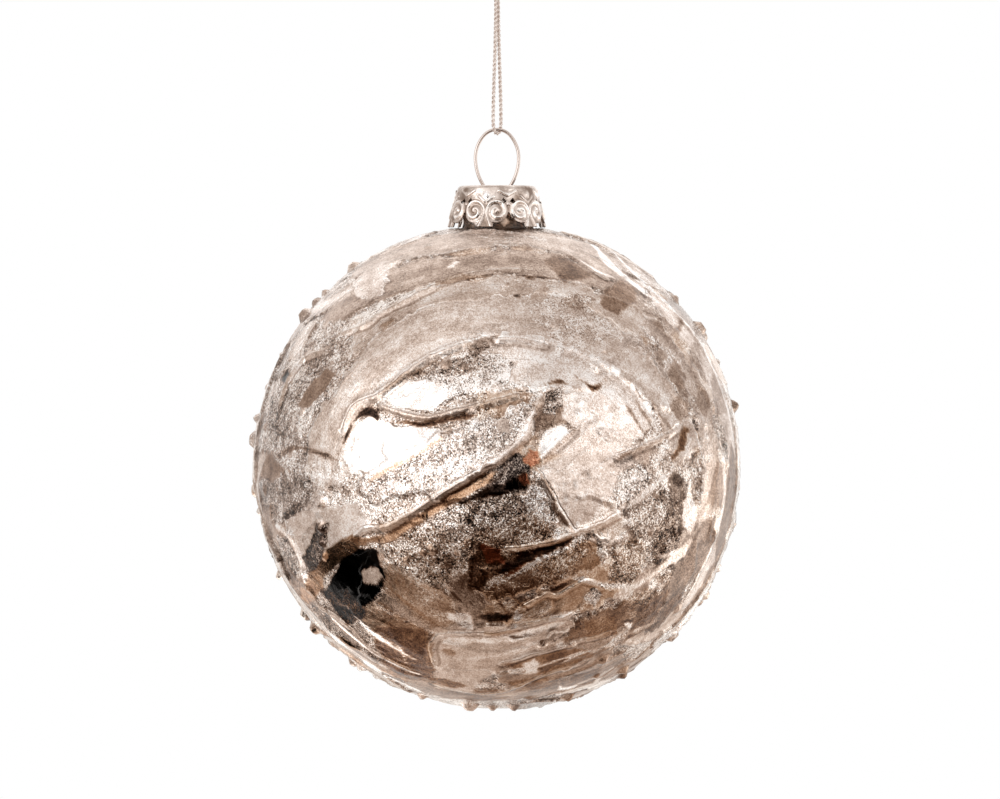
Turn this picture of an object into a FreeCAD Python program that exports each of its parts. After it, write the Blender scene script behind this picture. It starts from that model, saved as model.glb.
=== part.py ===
"""Glass ball ornament: a blown glass ball with a trowelled relief coat, a pierced cap, a wire clip and a thread loop.

Millimetres, +Z up. The origin is the axis of the hook or twig that the thread loop hangs on,
so the whole ornament lies below it, apart from the knot. +Y points away from the front.
"""
import FreeCAD
import Part
import math
import os

V = FreeCAD.Vector

# ---------------------------------------------------------------- driving dimensions
BALL_RADIUS = 49.8          # smooth level of the relief coat
BALL_CENTRE_Z = -108.0
GLASS_RADIUS = 48.8
GLASS_WALL = 0.7
BOND_GAP = 0.02             # between the glass and the coat bonded to it

NECK_RADIUS = 7.25
NECK_FILLET = 2.0
NECK_LIP_RISE = 0.14        # of the neck's rounded lip
NECK_TOP = 56.5             # above the ball's centre, as the cap's and the clip's heights are
COAT_MOUTH_RADIUS = 9.3     # the coat stops under the cap's rim

CAP_TOP = 57.45
CAP_RIM = 48.95
CAP_TOP_RADIUS = 8.0
CAP_RIM_RADIUS = 10.0
CAP_SHEET = 0.35
CAP_SHOULDER = 1.1
CAP_MOTIFS = 6
CAP_MOTIF_ANGLE = -15.0     # from the front, positive towards +X
WINDOW_HEIGHT = 1.7
WINDOW_HALF_ANGLE = 19.0
WINDOW_ROUNDING = 0.8
CLIP_HOLE_RADIUS = 0.75
CUT_PAST = 1.0              # how far a cutting tool runs on past the surface it opens

WIRE_RADIUS = 0.35
RING_TOP = 69.0             # the wire's centre line
RING_WIDEST = 63.1
RING_HALF_WIDTH = 4.45
RING_CROWN_RADIUS = 3.6
LEG_RADIUS = 1.3
LEG_PULL = 2.2              # straight wire between the ring's side and the pinch under the cap
LEG_PINCH = (1.9, 56.0)     # half spread and height of each leg's corners
LEG_WAIST = (6.22, 49.4)
LEG_TIP = (4.8, 43.0)

THREAD_DIAMETER = 0.8
LOOP_AZIMUTH = 55.0         # the loop's upright plane, turned from the XZ plane about Z
BEND_SHARE = 0.45           # of the shorter run beside a bend of the route, taken up by the bend
# Half of the thread's route, from inside the knot down to the bight: (half spread, height).
THREAD_ROUTE = [
    (0.42, 3.4),
    (1.50, -0.4),
    (0.44, -6.6),
    (0.42, -17.5),
    (1.40, -34.2),
    (1.40, -39.85),
]
KNOT_BOTTOM = 2.6
KNOT_HEIGHT = 3.4
KNOT_RADIUS = 1.55
KNOT_END_RADIUS = 0.9
TAIL_ROOT = 0.42
TAIL_SPREAD = 1.5
TAIL_TOP = 11.6

# Ridges of the relief as three points each, (longitude, latitude) in degrees: longitude 0 faces
# the front and 90 faces +X. The last number is the bead's radius.
RIDGES = [
    ((-36, 15), (-16, 26), (12, 31), 0.9),
    ((-29, 12), (-17, 11), (1, 15), 0.8),
    ((-52, -23), (-36, -17), (-20, -12), 1.0),
    ((-21, -12), (-9, -6), (3, 1), 1.0),
    ((3, 1), (9, 11), (16, 20), 0.8),
    ((9, 0), (13, -8), (19, -15), 0.7),
    ((2, -20), (18, -17), (38, -8), 0.9),
    ((-5, -29), (8, -24), (20, -20), 0.8),
    ((27, 0), (36, 5), (50, 9), 0.8),
    ((8, -36), (15, -30), (25, -27), 0.8),
    ((70, 30), (84, 8), (92, -16), 0.9),
    ((62, -20), (78, -34), (100, -40), 0.9),
    ((104, 22), (122, 30), (146, 24), 0.9),
    ((110, -10), (130, -2), (152, 4), 1.0),
    ((150, -30), (172, -22), (196, -20), 0.9),
    ((160, 38), (184, 30), (204, 16), 0.9),
    ((200, -6), (222, 4), (244, 6), 0.9),
    ((214, 36), (236, 30), (256, 18), 0.8),
    ((228, -34), (250, -28), (270, -34), 0.9),
    ((262, 10), (278, -4), (290, -22), 0.9),
    ((280, 40), (296, 28), (304, 12), 0.8),
]
RIDGE_END_DEPTH = 0.9       # how far the ends of a ridge sink under the smooth level
RIDGE_MID_DEPTH = 0.15

# Blobs that stand out of the relief: (longitude, latitude, radius).
NUBS = [
    (-90, 54, 1.0), (-90, 45, 0.9), (-90, 38, 0.8), (-90, 11, 0.9), (-90, 6, 1.3), (-88, -27, 0.9),
    (-90, -42, 0.9), (-70, -71, 0.9), (88, 43, 0.9), (90, 34, 0.9), (90, 14, 0.8), (90, -25, 1.0),
    (90, -32, 0.8), (86, -44, 0.9), (88, -59, 0.9), (10, -60, 1.1), (140, 10, 0.9), (176, 4, 1.0),
    (200, -40, 0.9), (232, 16, 0.9),
]
NUB_DEPTH = 0.5


def on_ball(longitude, latitude, radius):
    """The point at a longitude and latitude on a sphere about the ball's centre."""
    turn = math.radians(longitude)
    rise = math.radians(latitude)
    level = radius * math.cos(rise)
    return V(level * math.sin(turn), -level * math.cos(turn), BALL_CENTRE_Z + radius * math.sin(rise))


def face_of(edges):
    return Part.Face(Part.Wire(edges))


def line(a, b):
    return Part.LineSegment(a, b).toShape()


def arc(a, middle, b):
    return Part.Arc(a, middle, b).toShape()


def turned(half_profile):
    """A solid of revolution about Z from a closed face in the XZ plane."""
    return half_profile.revolve(V(0, 0, 0), V(0, 0, 1), 360)


def rounded_edges(points, radii):
    """Straight runs through the points, joined at each inner point by a tangent arc of its radius."""
    edges = []
    start = points[0]
    for before, corner, after, radius in zip(points, points[1:], points[2:], radii):
        back = (before - corner).normalize()
        ahead = (after - corner).normalize()
        half_turn = (math.pi - back.getAngle(ahead)) / 2
        setback = radius * math.tan(half_turn)
        first = corner + back * setback
        last = corner + ahead * setback
        inward = (back + ahead).normalize()
        middle = corner + inward * (radius / math.cos(half_turn) - radius)
        edges.append(line(start, first))
        edges.append(arc(first, middle, last))
        start = last
    edges.append(line(start, points[-1]))
    return edges


def round_bar(edges, radius):
    """A bar of round section that follows the edges."""
    path = Part.Wire(edges)
    first = edges[0]
    direction = first.tangentAt(first.FirstParameter)
    section = Part.Wire([Part.makeCircle(radius, first.valueAt(first.FirstParameter), direction)])
    return path.makePipeShell([section], True, True), path.Length


# ---------------------------------------------------------------- the ball
def ball_profile(sphere_radius, neck_radius, fillet_centre, fillet_radius, top):
    """The outline from the bottom pole up round the sphere, through the fillet and up the neck."""
    centre_distance = fillet_centre.distanceToPoint(V(0, 0, BALL_CENTRE_Z))
    away = (fillet_centre - V(0, 0, BALL_CENTRE_Z)).normalize()
    leave = V(0, 0, BALL_CENTRE_Z) + away * (centre_distance - fillet_radius)
    pole = V(0, 0, BALL_CENTRE_Z - sphere_radius)
    side = V(sphere_radius, 0, BALL_CENTRE_Z)
    arrive = V(neck_radius, 0, fillet_centre.z)
    between = ((leave - fillet_centre) + (arrive - fillet_centre)).normalize()
    sphere = arc(pole, side, leave)
    fillet = arc(leave, fillet_centre + between * fillet_radius, arrive)
    lip = V(neck_radius, 0, top)
    return [sphere, fillet, line(arrive, lip)], pole, lip


def glass_ball():
    reach = GLASS_RADIUS + NECK_FILLET
    across = NECK_RADIUS + NECK_FILLET
    fillet_centre = V(across, 0, BALL_CENTRE_Z + math.sqrt(reach**2 - across**2))
    top = BALL_CENTRE_Z + NECK_TOP
    outside, outer_pole, outer_lip = ball_profile(
        GLASS_RADIUS, NECK_RADIUS, fillet_centre, NECK_FILLET, top)
    inside, inner_pole, inner_lip = ball_profile(
        GLASS_RADIUS - GLASS_WALL, NECK_RADIUS - GLASS_WALL, fillet_centre, NECK_FILLET + GLASS_WALL, top)
    rim = arc(outer_lip, (outer_lip + inner_lip) * 0.5 + V(0, 0, NECK_LIP_RISE), inner_lip)
    return turned(face_of(outside + [rim] + inside[::-1] + [line(inner_pole, outer_pole)]))


def relief_coat():
    centre = V(0, 0, BALL_CENTRE_Z)
    coat = Part.makeSphere(BALL_RADIUS, centre)
    beads = []
    for start, middle, end, radius in RIDGES:
        low = BALL_RADIUS - RIDGE_END_DEPTH
        high = BALL_RADIUS - RIDGE_MID_DEPTH
        crest = arc(on_ball(*start, low), on_ball(*middle, high), on_ball(*end, low))
        bead, _ = round_bar([crest], radius)
        beads.append(bead)
    for longitude, latitude, radius in NUBS:
        beads.append(Part.makeSphere(radius, on_ball(longitude, latitude, BALL_RADIUS - NUB_DEPTH)))
    coat = coat.multiFuse(beads)
    coat = coat.cut(Part.makeSphere(GLASS_RADIUS + BOND_GAP, centre))
    return coat.cut(Part.makeCylinder(COAT_MOUTH_RADIUS, BALL_RADIUS + CUT_PAST, centre))


# ---------------------------------------------------------------- the cap and its clip
def cap():
    top = BALL_CENTRE_Z + CAP_TOP
    rim = BALL_CENTRE_Z + CAP_RIM
    slope = (CAP_RIM_RADIUS - CAP_TOP_RADIUS) / (CAP_TOP - CAP_RIM)

    def cup(offset):
        """The cap's outline with the skirt and top moved inwards by the offset."""
        points = [
            V(0, 0, top - offset),
            V(CAP_TOP_RADIUS - offset, 0, top - offset),
            V(CAP_RIM_RADIUS - offset + slope * offset, 0, rim),
        ]
        return rounded_edges(points, [CAP_SHOULDER - offset])

    outer = cup(0)
    inner = cup(CAP_SHEET)
    outer_top = outer[0].Vertexes[0].Point
    inner_top = inner[0].Vertexes[0].Point
    outer_rim = outer[-1].Vertexes[-1].Point
    inner_rim = inner[-1].Vertexes[-1].Point
    shell = turned(face_of(outer + [line(outer_rim, inner_rim)] + inner[::-1] + [line(inner_top, outer_top)]))
    pitch = 360.0 / CAP_MOTIFS
    for motif in range(CAP_MOTIFS):
        gap_angle = CAP_MOTIF_ANGLE + pitch * (motif + 0.5)
        shell = shell.cut(window(rim, gap_angle))
    for side in (-1, 1):
        below = V(side * ring_foot().x, 0, top - CAP_SHEET - CUT_PAST)
        shell = shell.cut(Part.makeCylinder(CLIP_HOLE_RADIUS, CAP_SHEET + 2 * CUT_PAST, below))
    return shell


def window(rim, angle):
    """The opening in the skirt between two feet: flat at the rim, with rounded upper corners."""
    half_width = CAP_RIM_RADIUS * math.tan(math.radians(WINDOW_HALF_ANGLE))
    points = [
        V(-half_width, 0, rim - WINDOW_HEIGHT),
        V(-half_width, 0, rim + WINDOW_HEIGHT),
        V(half_width, 0, rim + WINDOW_HEIGHT),
        V(half_width, 0, rim - WINDOW_HEIGHT),
    ]
    edges = rounded_edges(points, [WINDOW_ROUNDING] * 2) + [line(points[-1], points[0])]
    block = face_of(edges).extrude(V(0, -CAP_RIM_RADIUS, 0))
    block.translate(V(0, -CUT_PAST, 0))
    block.rotate(V(0, 0, 0), V(0, 0, 1), angle)
    return block


def ring_arcs():
    """The height of the crown arc's centre over the ring's widest, and the radius of the upper sides."""
    rise = RING_TOP - RING_WIDEST - RING_CROWN_RADIUS
    shift = RING_HALF_WIDTH - RING_CROWN_RADIUS
    upper_radius = RING_CROWN_RADIUS + (shift**2 + rise**2) / (2 * shift)
    return rise, upper_radius


def ring_foot():
    """Where the ring meets the cap's top face, on the +X side."""
    foot = V(LEG_PINCH[0], 0, BALL_CENTRE_Z + LEG_PINCH[1])
    lower_end = lower_side()[2]
    share = (BALL_CENTRE_Z + CAP_TOP - CAP_SHEET / 2 - foot.z) / (lower_end.z - foot.z)
    return foot + (lower_end - foot) * share


def lower_side():
    """The ring's lower side arc on +X: its start, middle and end, which is tangent to the line to the pinch."""
    pinch = V(LEG_PINCH[0], 0, BALL_CENTRE_Z + LEG_PINCH[1])
    start = V(RING_HALF_WIDTH, 0, BALL_CENTRE_Z + RING_WIDEST)
    drop = start.z - pinch.z
    inset = start.x - pinch.x
    # The circle's centre is level with the start, and the tangent from the pinch is LEG_PULL long.
    radius = (drop**2 + inset**2 - LEG_PULL**2) / (2 * inset)
    centre = V(start.x - radius, 0, start.z)
    to_pinch = pinch - centre
    lean = math.atan2(-to_pinch.z, to_pinch.x) - math.acos(radius / to_pinch.Length)
    end = centre + V(math.cos(lean), 0, -math.sin(lean)) * radius
    middle = centre + V(math.cos(lean / 2), 0, -math.sin(lean / 2)) * radius
    return start, middle, end


def wire_clip():
    """The egg-shaped ring and its two sprung legs, one bent wire."""
    rise, upper_radius = ring_arcs()
    crown_centre = V(0, 0, BALL_CENTRE_Z + RING_WIDEST + rise)
    side_centre = V(RING_HALF_WIDTH - upper_radius, 0, BALL_CENTRE_Z + RING_WIDEST)
    join_direction = (crown_centre - side_centre).normalize()
    crown_end = crown_centre + join_direction * RING_CROWN_RADIUS
    side_start = V(RING_HALF_WIDTH, 0, side_centre.z)
    side_middle = side_centre + (join_direction + V(1, 0, 0)).normalize() * upper_radius
    lower_start, lower_middle, lower_end = lower_side()

    def mirrored(point):
        return V(-point.x, point.y, point.z)

    def leg(side):
        points = [lower_end]
        for spread, height in (LEG_PINCH, LEG_WAIST, LEG_TIP):
            points.append(V(spread, 0, BALL_CENTRE_Z + height))
        if side < 0:
            points = [mirrored(point) for point in points]
        return points

    left_leg = leg(-1)[::-1]
    right_leg = leg(1)
    edges = rounded_edges(left_leg, [LEG_RADIUS] * 2)
    edges.append(arc(mirrored(lower_end), mirrored(lower_middle), mirrored(lower_start)))
    edges.append(arc(mirrored(side_start), mirrored(side_middle), mirrored(crown_end)))
    edges.append(arc(mirrored(crown_end), V(0, 0, BALL_CENTRE_Z + RING_TOP), crown_end))
    edges.append(arc(crown_end, side_middle, side_start))
    edges.append(arc(lower_start, lower_middle, lower_end))
    edges.extend(rounded_edges(right_leg, [LEG_RADIUS] * 2))
    clip, _ = round_bar(edges, WIRE_RADIUS)
    return clip


# ---------------------------------------------------------------- the thread loop
def in_loop_plane(spread, height):
    turn = math.radians(LOOP_AZIMUTH)
    return V(spread * math.cos(turn), spread * math.sin(turn), height)


def cord():
    down = [in_loop_plane(-spread, height) for spread, height in THREAD_ROUTE]
    up = [in_loop_plane(spread, height) for spread, height in THREAD_ROUTE[::-1]]
    points = down + up
    radii = []
    for before, corner, after in zip(points, points[1:], points[2:]):
        shorter_run = min(before.distanceToPoint(corner), corner.distanceToPoint(after))
        half_turn = (math.pi - (before - corner).getAngle(after - corner)) / 2
        radii.append(BEND_SHARE * shorter_run / math.tan(half_turn))
    tube, length = round_bar(rounded_edges(points, radii), THREAD_DIAMETER / 2)
    section = math.pi * THREAD_DIAMETER**2 / 4
    print("cord: radii", " ".join(f"{radius:.2f}" for radius in radii))
    print(f"cord: length {length:.1f}, volume {tube.Volume:.3f}, section x length {section * length:.3f}")
    return tube


def cord_knot():
    top = KNOT_BOTTOM + KNOT_HEIGHT
    low = V(KNOT_END_RADIUS, 0, KNOT_BOTTOM)
    high = V(KNOT_END_RADIUS, 0, top)
    belly = arc(low, V(KNOT_RADIUS, 0, (KNOT_BOTTOM + top) / 2), high)
    outline = [
        line(V(0, 0, KNOT_BOTTOM), low),
        belly,
        line(high, V(0, 0, top)),
        line(V(0, 0, top), V(0, 0, KNOT_BOTTOM)),
    ]
    knot = turned(face_of(outline))
    for side in (-1, 1):
        root = in_loop_plane(side * TAIL_ROOT, top - THREAD_DIAMETER)
        tip = in_loop_plane(side * TAIL_SPREAD, TAIL_TOP)
        tail = Part.makeCylinder(THREAD_DIAMETER / 2, root.distanceToPoint(tip), root, tip - root)
        knot = knot.fuse(tail)
    return knot


PIECES = {
    "glass_ball": glass_ball,
    "relief_coat": relief_coat,
    "cap": cap,
    "wire_clip": wire_clip,
    "cord": cord,
    "cord_knot": cord_knot,
}

os.makedirs("parts", exist_ok=True)
for name, make in PIECES.items():
    shape = make()
    box = shape.BoundBox
    print(f"{name}: valid {shape.isValid()}, solids {len(shape.Solids)}, volume {shape.Volume:.2f}, "
          f"z {box.ZMin:.2f} to {box.ZMax:.2f}, x {box.XMin:.2f} to {box.XMax:.2f}")
    shape.exportStep(f"parts/{name}.step")
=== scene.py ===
"""Looks of the glass ball ornament: the trowelled mirror relief, the cap, the wire clip and the thread loop.

Metres, in the CAD's frame: +Z up, -Y the front, the origin on the axis of the hook that the loop hangs on.
Sizes named _MM are millimetres; everything that goes into Blender is in metres.
"""
import math
import bpy
import numpy as np
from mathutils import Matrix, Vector


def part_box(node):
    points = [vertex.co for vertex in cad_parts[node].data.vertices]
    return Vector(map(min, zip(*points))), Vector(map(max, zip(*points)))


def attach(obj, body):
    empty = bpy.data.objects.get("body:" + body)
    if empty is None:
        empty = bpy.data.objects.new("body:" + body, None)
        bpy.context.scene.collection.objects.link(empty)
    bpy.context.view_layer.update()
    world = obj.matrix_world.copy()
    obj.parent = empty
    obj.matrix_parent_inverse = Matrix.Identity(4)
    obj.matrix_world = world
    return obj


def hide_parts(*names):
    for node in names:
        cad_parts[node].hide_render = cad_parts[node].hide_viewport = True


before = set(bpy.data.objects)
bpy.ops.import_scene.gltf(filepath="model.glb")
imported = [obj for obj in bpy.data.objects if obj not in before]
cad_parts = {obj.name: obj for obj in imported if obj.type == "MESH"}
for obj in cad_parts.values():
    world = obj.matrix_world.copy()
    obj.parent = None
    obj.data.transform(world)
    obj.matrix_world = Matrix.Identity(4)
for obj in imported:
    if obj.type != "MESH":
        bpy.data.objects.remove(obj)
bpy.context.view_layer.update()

MM = 0.001
TAU = 2 * math.pi

# ---------------------------------------------------------------- sizes repeated from the CAD
COAT_MM = 1.0                  # from the glass to the coat's smooth level
COAT_MOUTH_RADIUS_MM = 9.3
CAP_TOP_RADIUS_MM = 8.0
CLIP_FOOT_MM = 2.66            # half the distance between the clip's two holes

# ---------------------------------------------------------------- places taken from the frame
glass_low, glass_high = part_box("glass_ball")
cap_low, cap_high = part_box("cap")
GLASS_RADIUS_MM = (glass_high.x - glass_low.x) / 2 / MM
BALL_CENTRE_Z = glass_low.z + GLASS_RADIUS_MM * MM
BALL_RADIUS_MM = GLASS_RADIUS_MM + COAT_MM
BALL_CENTRE = Vector((0, 0, BALL_CENTRE_Z))
CAP_TOP_MM = (cap_high.z - BALL_CENTRE_Z) / MM
CAP_RIM_MM = (cap_low.z - BALL_CENTRE_Z) / MM
CAP_RIM_RADIUS_MM = (cap_high.x - cap_low.x) / 2 / MM
DEGREE_MM = math.radians(1) * BALL_RADIUS_MM


# ---------------------------------------------------------------- small helpers
def add_mesh(name, verts, faces, material):
    """A new smooth-shaded mesh object from vertices in metres."""
    mesh = bpy.data.meshes.new(name)
    verts = np.asarray(verts, dtype=np.float32)
    faces = np.asarray(faces, dtype=np.int32)
    corners = faces.shape[1]
    mesh.vertices.add(len(verts))
    mesh.vertices.foreach_set("co", verts.ravel())
    mesh.loops.add(faces.size)
    mesh.loops.foreach_set("vertex_index", faces.ravel())
    mesh.polygons.add(len(faces))
    mesh.polygons.foreach_set("loop_start", np.arange(0, faces.size, corners, dtype=np.int32))
    mesh.polygons.foreach_set("loop_total", np.full(len(faces), corners, dtype=np.int32))
    mesh.polygons.foreach_set("use_smooth", np.ones(len(faces), bool))
    mesh.update(calc_edges=True)
    mesh.materials.append(material)
    obj = bpy.data.objects.new(name, mesh)
    bpy.context.scene.collection.objects.link(obj)
    return obj


def add_attribute(obj, name, values):
    """A float or vector attribute on the points."""
    values = np.asarray(values, dtype=np.float32)
    kind = "FLOAT" if values.ndim == 1 else "FLOAT_VECTOR"
    layer = obj.data.attributes.new(name, kind, "POINT")
    layer.data.foreach_set("value" if kind == "FLOAT" else "vector", values.ravel())


def set_material(obj, material):
    obj.data.materials.clear()
    obj.data.materials.append(material)


def joined(parts):
    """One mesh from several: vertices, quads, and a value for each vertex."""
    verts, quads, values = zip(*parts)
    starts = np.cumsum([0] + [len(piece) for piece in verts[:-1]])
    shifted = [piece + start for piece, start in zip(quads, starts)]
    return np.vstack(verts), np.vstack(shifted), np.concatenate(values)


def unit(vectors):
    """The same vectors with length 1."""
    return vectors / np.linalg.norm(vectors, axis=-1, keepdims=True)


def distances_along(line):
    """The distance from the line's start to each of its points."""
    return np.r_[0, np.cumsum(np.linalg.norm(np.diff(line, axis=0), axis=1))]


def smoothstep(low, high, x):
    t = np.clip((x - low) / (high - low), 0, 1)
    return t * t * (3 - 2 * t)


def bump_over(distance, width):
    """A bell curve that is 1 at no distance."""
    return np.exp(-((distance / width) ** 2))


def linear(red, green, blue):
    """An sRGB colour in 0..255 as linear RGBA."""
    def channel(value):
        value = value / 255
        return value / 12.92 if value <= 0.04045 else ((value + 0.055) / 1.055) ** 2.4
    return (channel(red), channel(green), channel(blue), 1.0)


# ---------------------------------------------------------------- shader helpers
class Shader:
    """The node tree of a material or a world, with short calls for the nodes that are used here.

    The scale of a noise or of cells is in steps per metre, where the place is the object's own.
    """

    def __init__(self, owner):
        owner.use_nodes = True
        self.owner = owner
        self.nodes = owner.node_tree.nodes
        self.principled = self.nodes.get("Principled BSDF")

    def link(self, value, socket):
        if isinstance(value, bpy.types.NodeSocket):
            self.owner.node_tree.links.new(value, socket)
        else:
            socket.default_value = value

    def add(self, kind, inputs, **settings):
        """A new node: its settings first, then its inputs by name or number, each linked or set."""
        node = self.nodes.new("ShaderNode" + kind)
        for key, value in settings.items():
            setattr(node, key, value)
        for key, value in inputs.items():
            self.link(value, node.inputs[key])
        return node

    def set(self, **values):
        """Sockets of the Principled shader, by name with underscores for spaces."""
        for key, value in values.items():
            self.link(value, self.principled.inputs[key.replace("_", " ")])

    def attribute(self, name, output="Fac"):
        return self.add("Attribute", {}, attribute_name=name).outputs[output]

    def coordinates(self, output="Object"):
        return self.add("TexCoord", {}).outputs[output]

    def noise(self, vector, scale, detail=2.0, rough=0.5, distortion=0.0):
        inputs = {"Vector": vector, "Scale": scale, "Detail": detail, "Roughness": rough,
                  "Distortion": distortion}
        return self.add("TexNoise", inputs).outputs["Fac"]

    def noise_colour(self, vector, scale):
        return self.noise(vector, scale).node.outputs["Color"]

    def cells(self, vector, scale):
        """A random colour for each cell of a Voronoi pattern."""
        return self.add("TexVoronoi", {"Vector": vector, "Scale": scale}).outputs["Color"]

    def channel(self, vector, index):
        return self.add("SeparateXYZ", {0: vector}).outputs[index]

    def vector(self, operation, a, b=None, factor=None):
        inputs = {0: a, 1: b, "Scale": factor}
        given = {key: value for key, value in inputs.items() if value is not None}
        return self.add("VectorMath", given, operation=operation).outputs[0]

    def scaled(self, vector, factor):
        return self.vector("SCALE", vector, factor=factor)

    def shift(self, vector, offset, factor):
        """The vector with an offset added, the offset taken so many times."""
        return self.vector("ADD", vector, self.scaled(offset, factor))

    def math(self, operation, a, b=0.0, clamp=False):
        return self.add("Math", {0: a, 1: b}, operation=operation, use_clamp=clamp).outputs[0]

    def minus(self, a, b):
        return self.math("SUBTRACT", a, b)

    def chain(self, operation, values):
        result = values[0]
        for value in values[1:]:
            result = self.math(operation, result, value)
        return result

    def total(self, *values):
        return self.chain("ADD", values)

    def times(self, *values):
        return self.chain("MULTIPLY", values)

    def palette(self, value, stops):
        """A colour ramp through (place, sRGB colour) stops."""
        node = self.add("ValToRGB", {"Fac": value})
        ramp = node.color_ramp
        for place, shade in stops[1:-1]:
            ramp.elements.new(place).color = linear(*shade)
        for element, (place, shade) in zip((ramp.elements[0], ramp.elements[-1]), (stops[0], stops[-1])):
            element.position = place
            element.color = linear(*shade)
        return node.outputs["Color"]

    def ramp(self, value, low, high, to_low=0.0, to_high=1.0, smooth=True):
        inputs = {"Value": value, "From Min": low, "From Max": high, "To Min": to_low, "To Max": to_high}
        kind = "SMOOTHSTEP" if smooth else "LINEAR"
        return self.add("MapRange", inputs, interpolation_type=kind).outputs["Result"]

    def mix(self, factor, a, b):
        node = self.add("Mix", {"Factor": factor, "A": a, "B": b}, data_type="RGBA")
        return next(socket for socket in node.outputs if socket.type == "RGBA")

    def bump(self, height, distance, strength=1.0):
        inputs = {"Strength": strength, "Distance": distance, "Height": height}
        return self.add("Bump", inputs).outputs["Normal"]


# ---------------------------------------------------------------- camera
CAMERA_DISTANCE = 0.9
CAMERA_RISE = 0.040            # of the camera over the ball's centre
AIM_ACROSS = 0.0006            # of the aimed place towards +X, and over the ball's centre
AIM_RISE = 0.0135
AIM = Vector((AIM_ACROSS, 0, BALL_CENTRE_Z + AIM_RISE))
BALL_SHARE_OF_WIDTH = 0.4866   # the ball's width in the picture
OUTLINE_MM = 0.2               # of the relief's outline past the ball's smooth level
SENSOR_WIDTH = 36.0
NEAREST_SEEN = 0.01


def add_camera():
    """A camera in front of the ball and a little above it, with no shift and no depth of field."""
    data = bpy.data.cameras.new("camera")
    camera = bpy.data.objects.new("camera", data)
    bpy.context.scene.collection.objects.link(camera)
    camera.location = Vector((AIM_ACROSS, -CAMERA_DISTANCE, BALL_CENTRE_Z + CAMERA_RISE))
    camera.rotation_euler = (AIM - camera.location).to_track_quat("-Z", "Y").to_euler()
    half_angle = math.asin((BALL_RADIUS_MM + OUTLINE_MM) * MM / CAMERA_DISTANCE)
    data.sensor_width = SENSOR_WIDTH
    data.lens = BALL_SHARE_OF_WIDTH * SENSOR_WIDTH / (2 * math.tan(half_angle))
    data.clip_start = NEAREST_SEEN
    bpy.context.scene.camera = camera
    bpy.context.scene.view_settings.view_transform = "Standard"


add_camera()


# ---------------------------------------------------------------- the thread loop
LOOP_AZIMUTH = math.radians(55.0)
# Half of the thread's route, from inside the knot down to the bight: (half spread, height) in millimetres.
THREAD_ROUTE = [
    (0.42, 3.4),
    (1.50, -0.4),
    (0.44, -6.6),
    (0.42, -17.5),
    (1.40, -34.2),
    (1.40, -39.85),
]
ROUTE_PIECES = 24              # straight pieces of the drawn line for each point of the route
PLY_COUNT = 2
PLY_RADIUS_MM = 0.215
PLY_OFFSET_MM = 0.185          # of a ply's middle from the thread's
PLY_PITCH_MM = 1.9
PLY_CORNERS = 9
PLY_STEP_MM = 0.12
PLY_TIP_MM = 0.15              # the length over which a ply's end tapers
PLY_TIP_SHARE = 0.05           # of its thickness that a ply has at its very end
FIBRES_PER_MM = 1.3            # steps of the fibres' noise along the thread, and from corner to corner
FIBRES_PER_CORNER = 1.1
KNOT_RADIUS_MM = 0.72
KNOT_TURNS = 2.25
KNOT_FOOT_MM = 3.2             # height of the first turn over the hook's axis
KNOT_HEIGHT_MM = 2.1
KNOT_POINTS = 41
KNOT_PIECES = 12
KNOT_PHASE = 1.3               # from one strand's plies to the other's, in radians


def loop_point(spread, height):
    return Vector((spread * math.cos(LOOP_AZIMUTH), spread * math.sin(LOOP_AZIMUTH), height)) * MM


def loop_points(places):
    return [loop_point(spread, height) for spread, height in places]


def nurbs_line(points, pieces):
    """Points along the smooth NURBS line that the given points control, as an array."""
    curve = bpy.data.curves.new("route", "CURVE")
    curve.dimensions = "3D"
    spline = curve.splines.new("NURBS")
    spline.points.add(len(points) - 1)
    for target, point in zip(spline.points, points):
        target.co = (*point, 1.0)
    spline.order_u = 3
    spline.use_endpoint_u = True
    spline.resolution_u = pieces
    holder = bpy.data.objects.new("route", curve)
    mesh = bpy.data.meshes.new_from_object(holder)
    line = np.array([vertex.co[:] for vertex in mesh.vertices])
    bpy.data.objects.remove(holder)
    bpy.data.meshes.remove(mesh)
    bpy.data.curves.remove(curve)
    return line


def even_line(line, step):
    """The same line with its points a step apart."""
    lengths = distances_along(line)
    count = max(2, int(round(lengths[-1] / step)) + 1)
    places = np.linspace(0, lengths[-1], count)
    return np.stack([np.interp(places, lengths, line[:, axis]) for axis in range(3)], axis=1)


def carried_frames(line):
    """Two directions across the line at each point, turned as little as possible along it."""
    tangents = unit(np.gradient(line, axis=0))
    across = unit(np.cross(tangents[0], (0.31, 0.87, 0.12)))    # any direction that is not along the line
    sides = []
    for tangent in tangents:
        across = unit(across - tangent * np.dot(across, tangent))
        sides.append(across)
    sides = np.array(sides)
    return sides, np.cross(tangents, sides)


def tube_mesh(line, radii, corners):
    """Vertices and quads of a tube along a line, open at its ends."""
    first, second = carried_frames(line)
    turns = np.arange(corners) * TAU / corners
    rings = (line[:, None, :]
             + radii[:, None, None] * (np.cos(turns)[None, :, None] * first[:, None, :]
                                       + np.sin(turns)[None, :, None] * second[:, None, :]))
    row = np.arange(len(line) - 1)[:, None] * corners
    here = np.arange(corners)[None, :]
    there = (here + 1) % corners
    quads = np.stack([row + here, row + there, row + corners + there, row + corners + here], axis=-1)
    return rings.reshape(-1, 3), quads.reshape(-1, 4)


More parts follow.
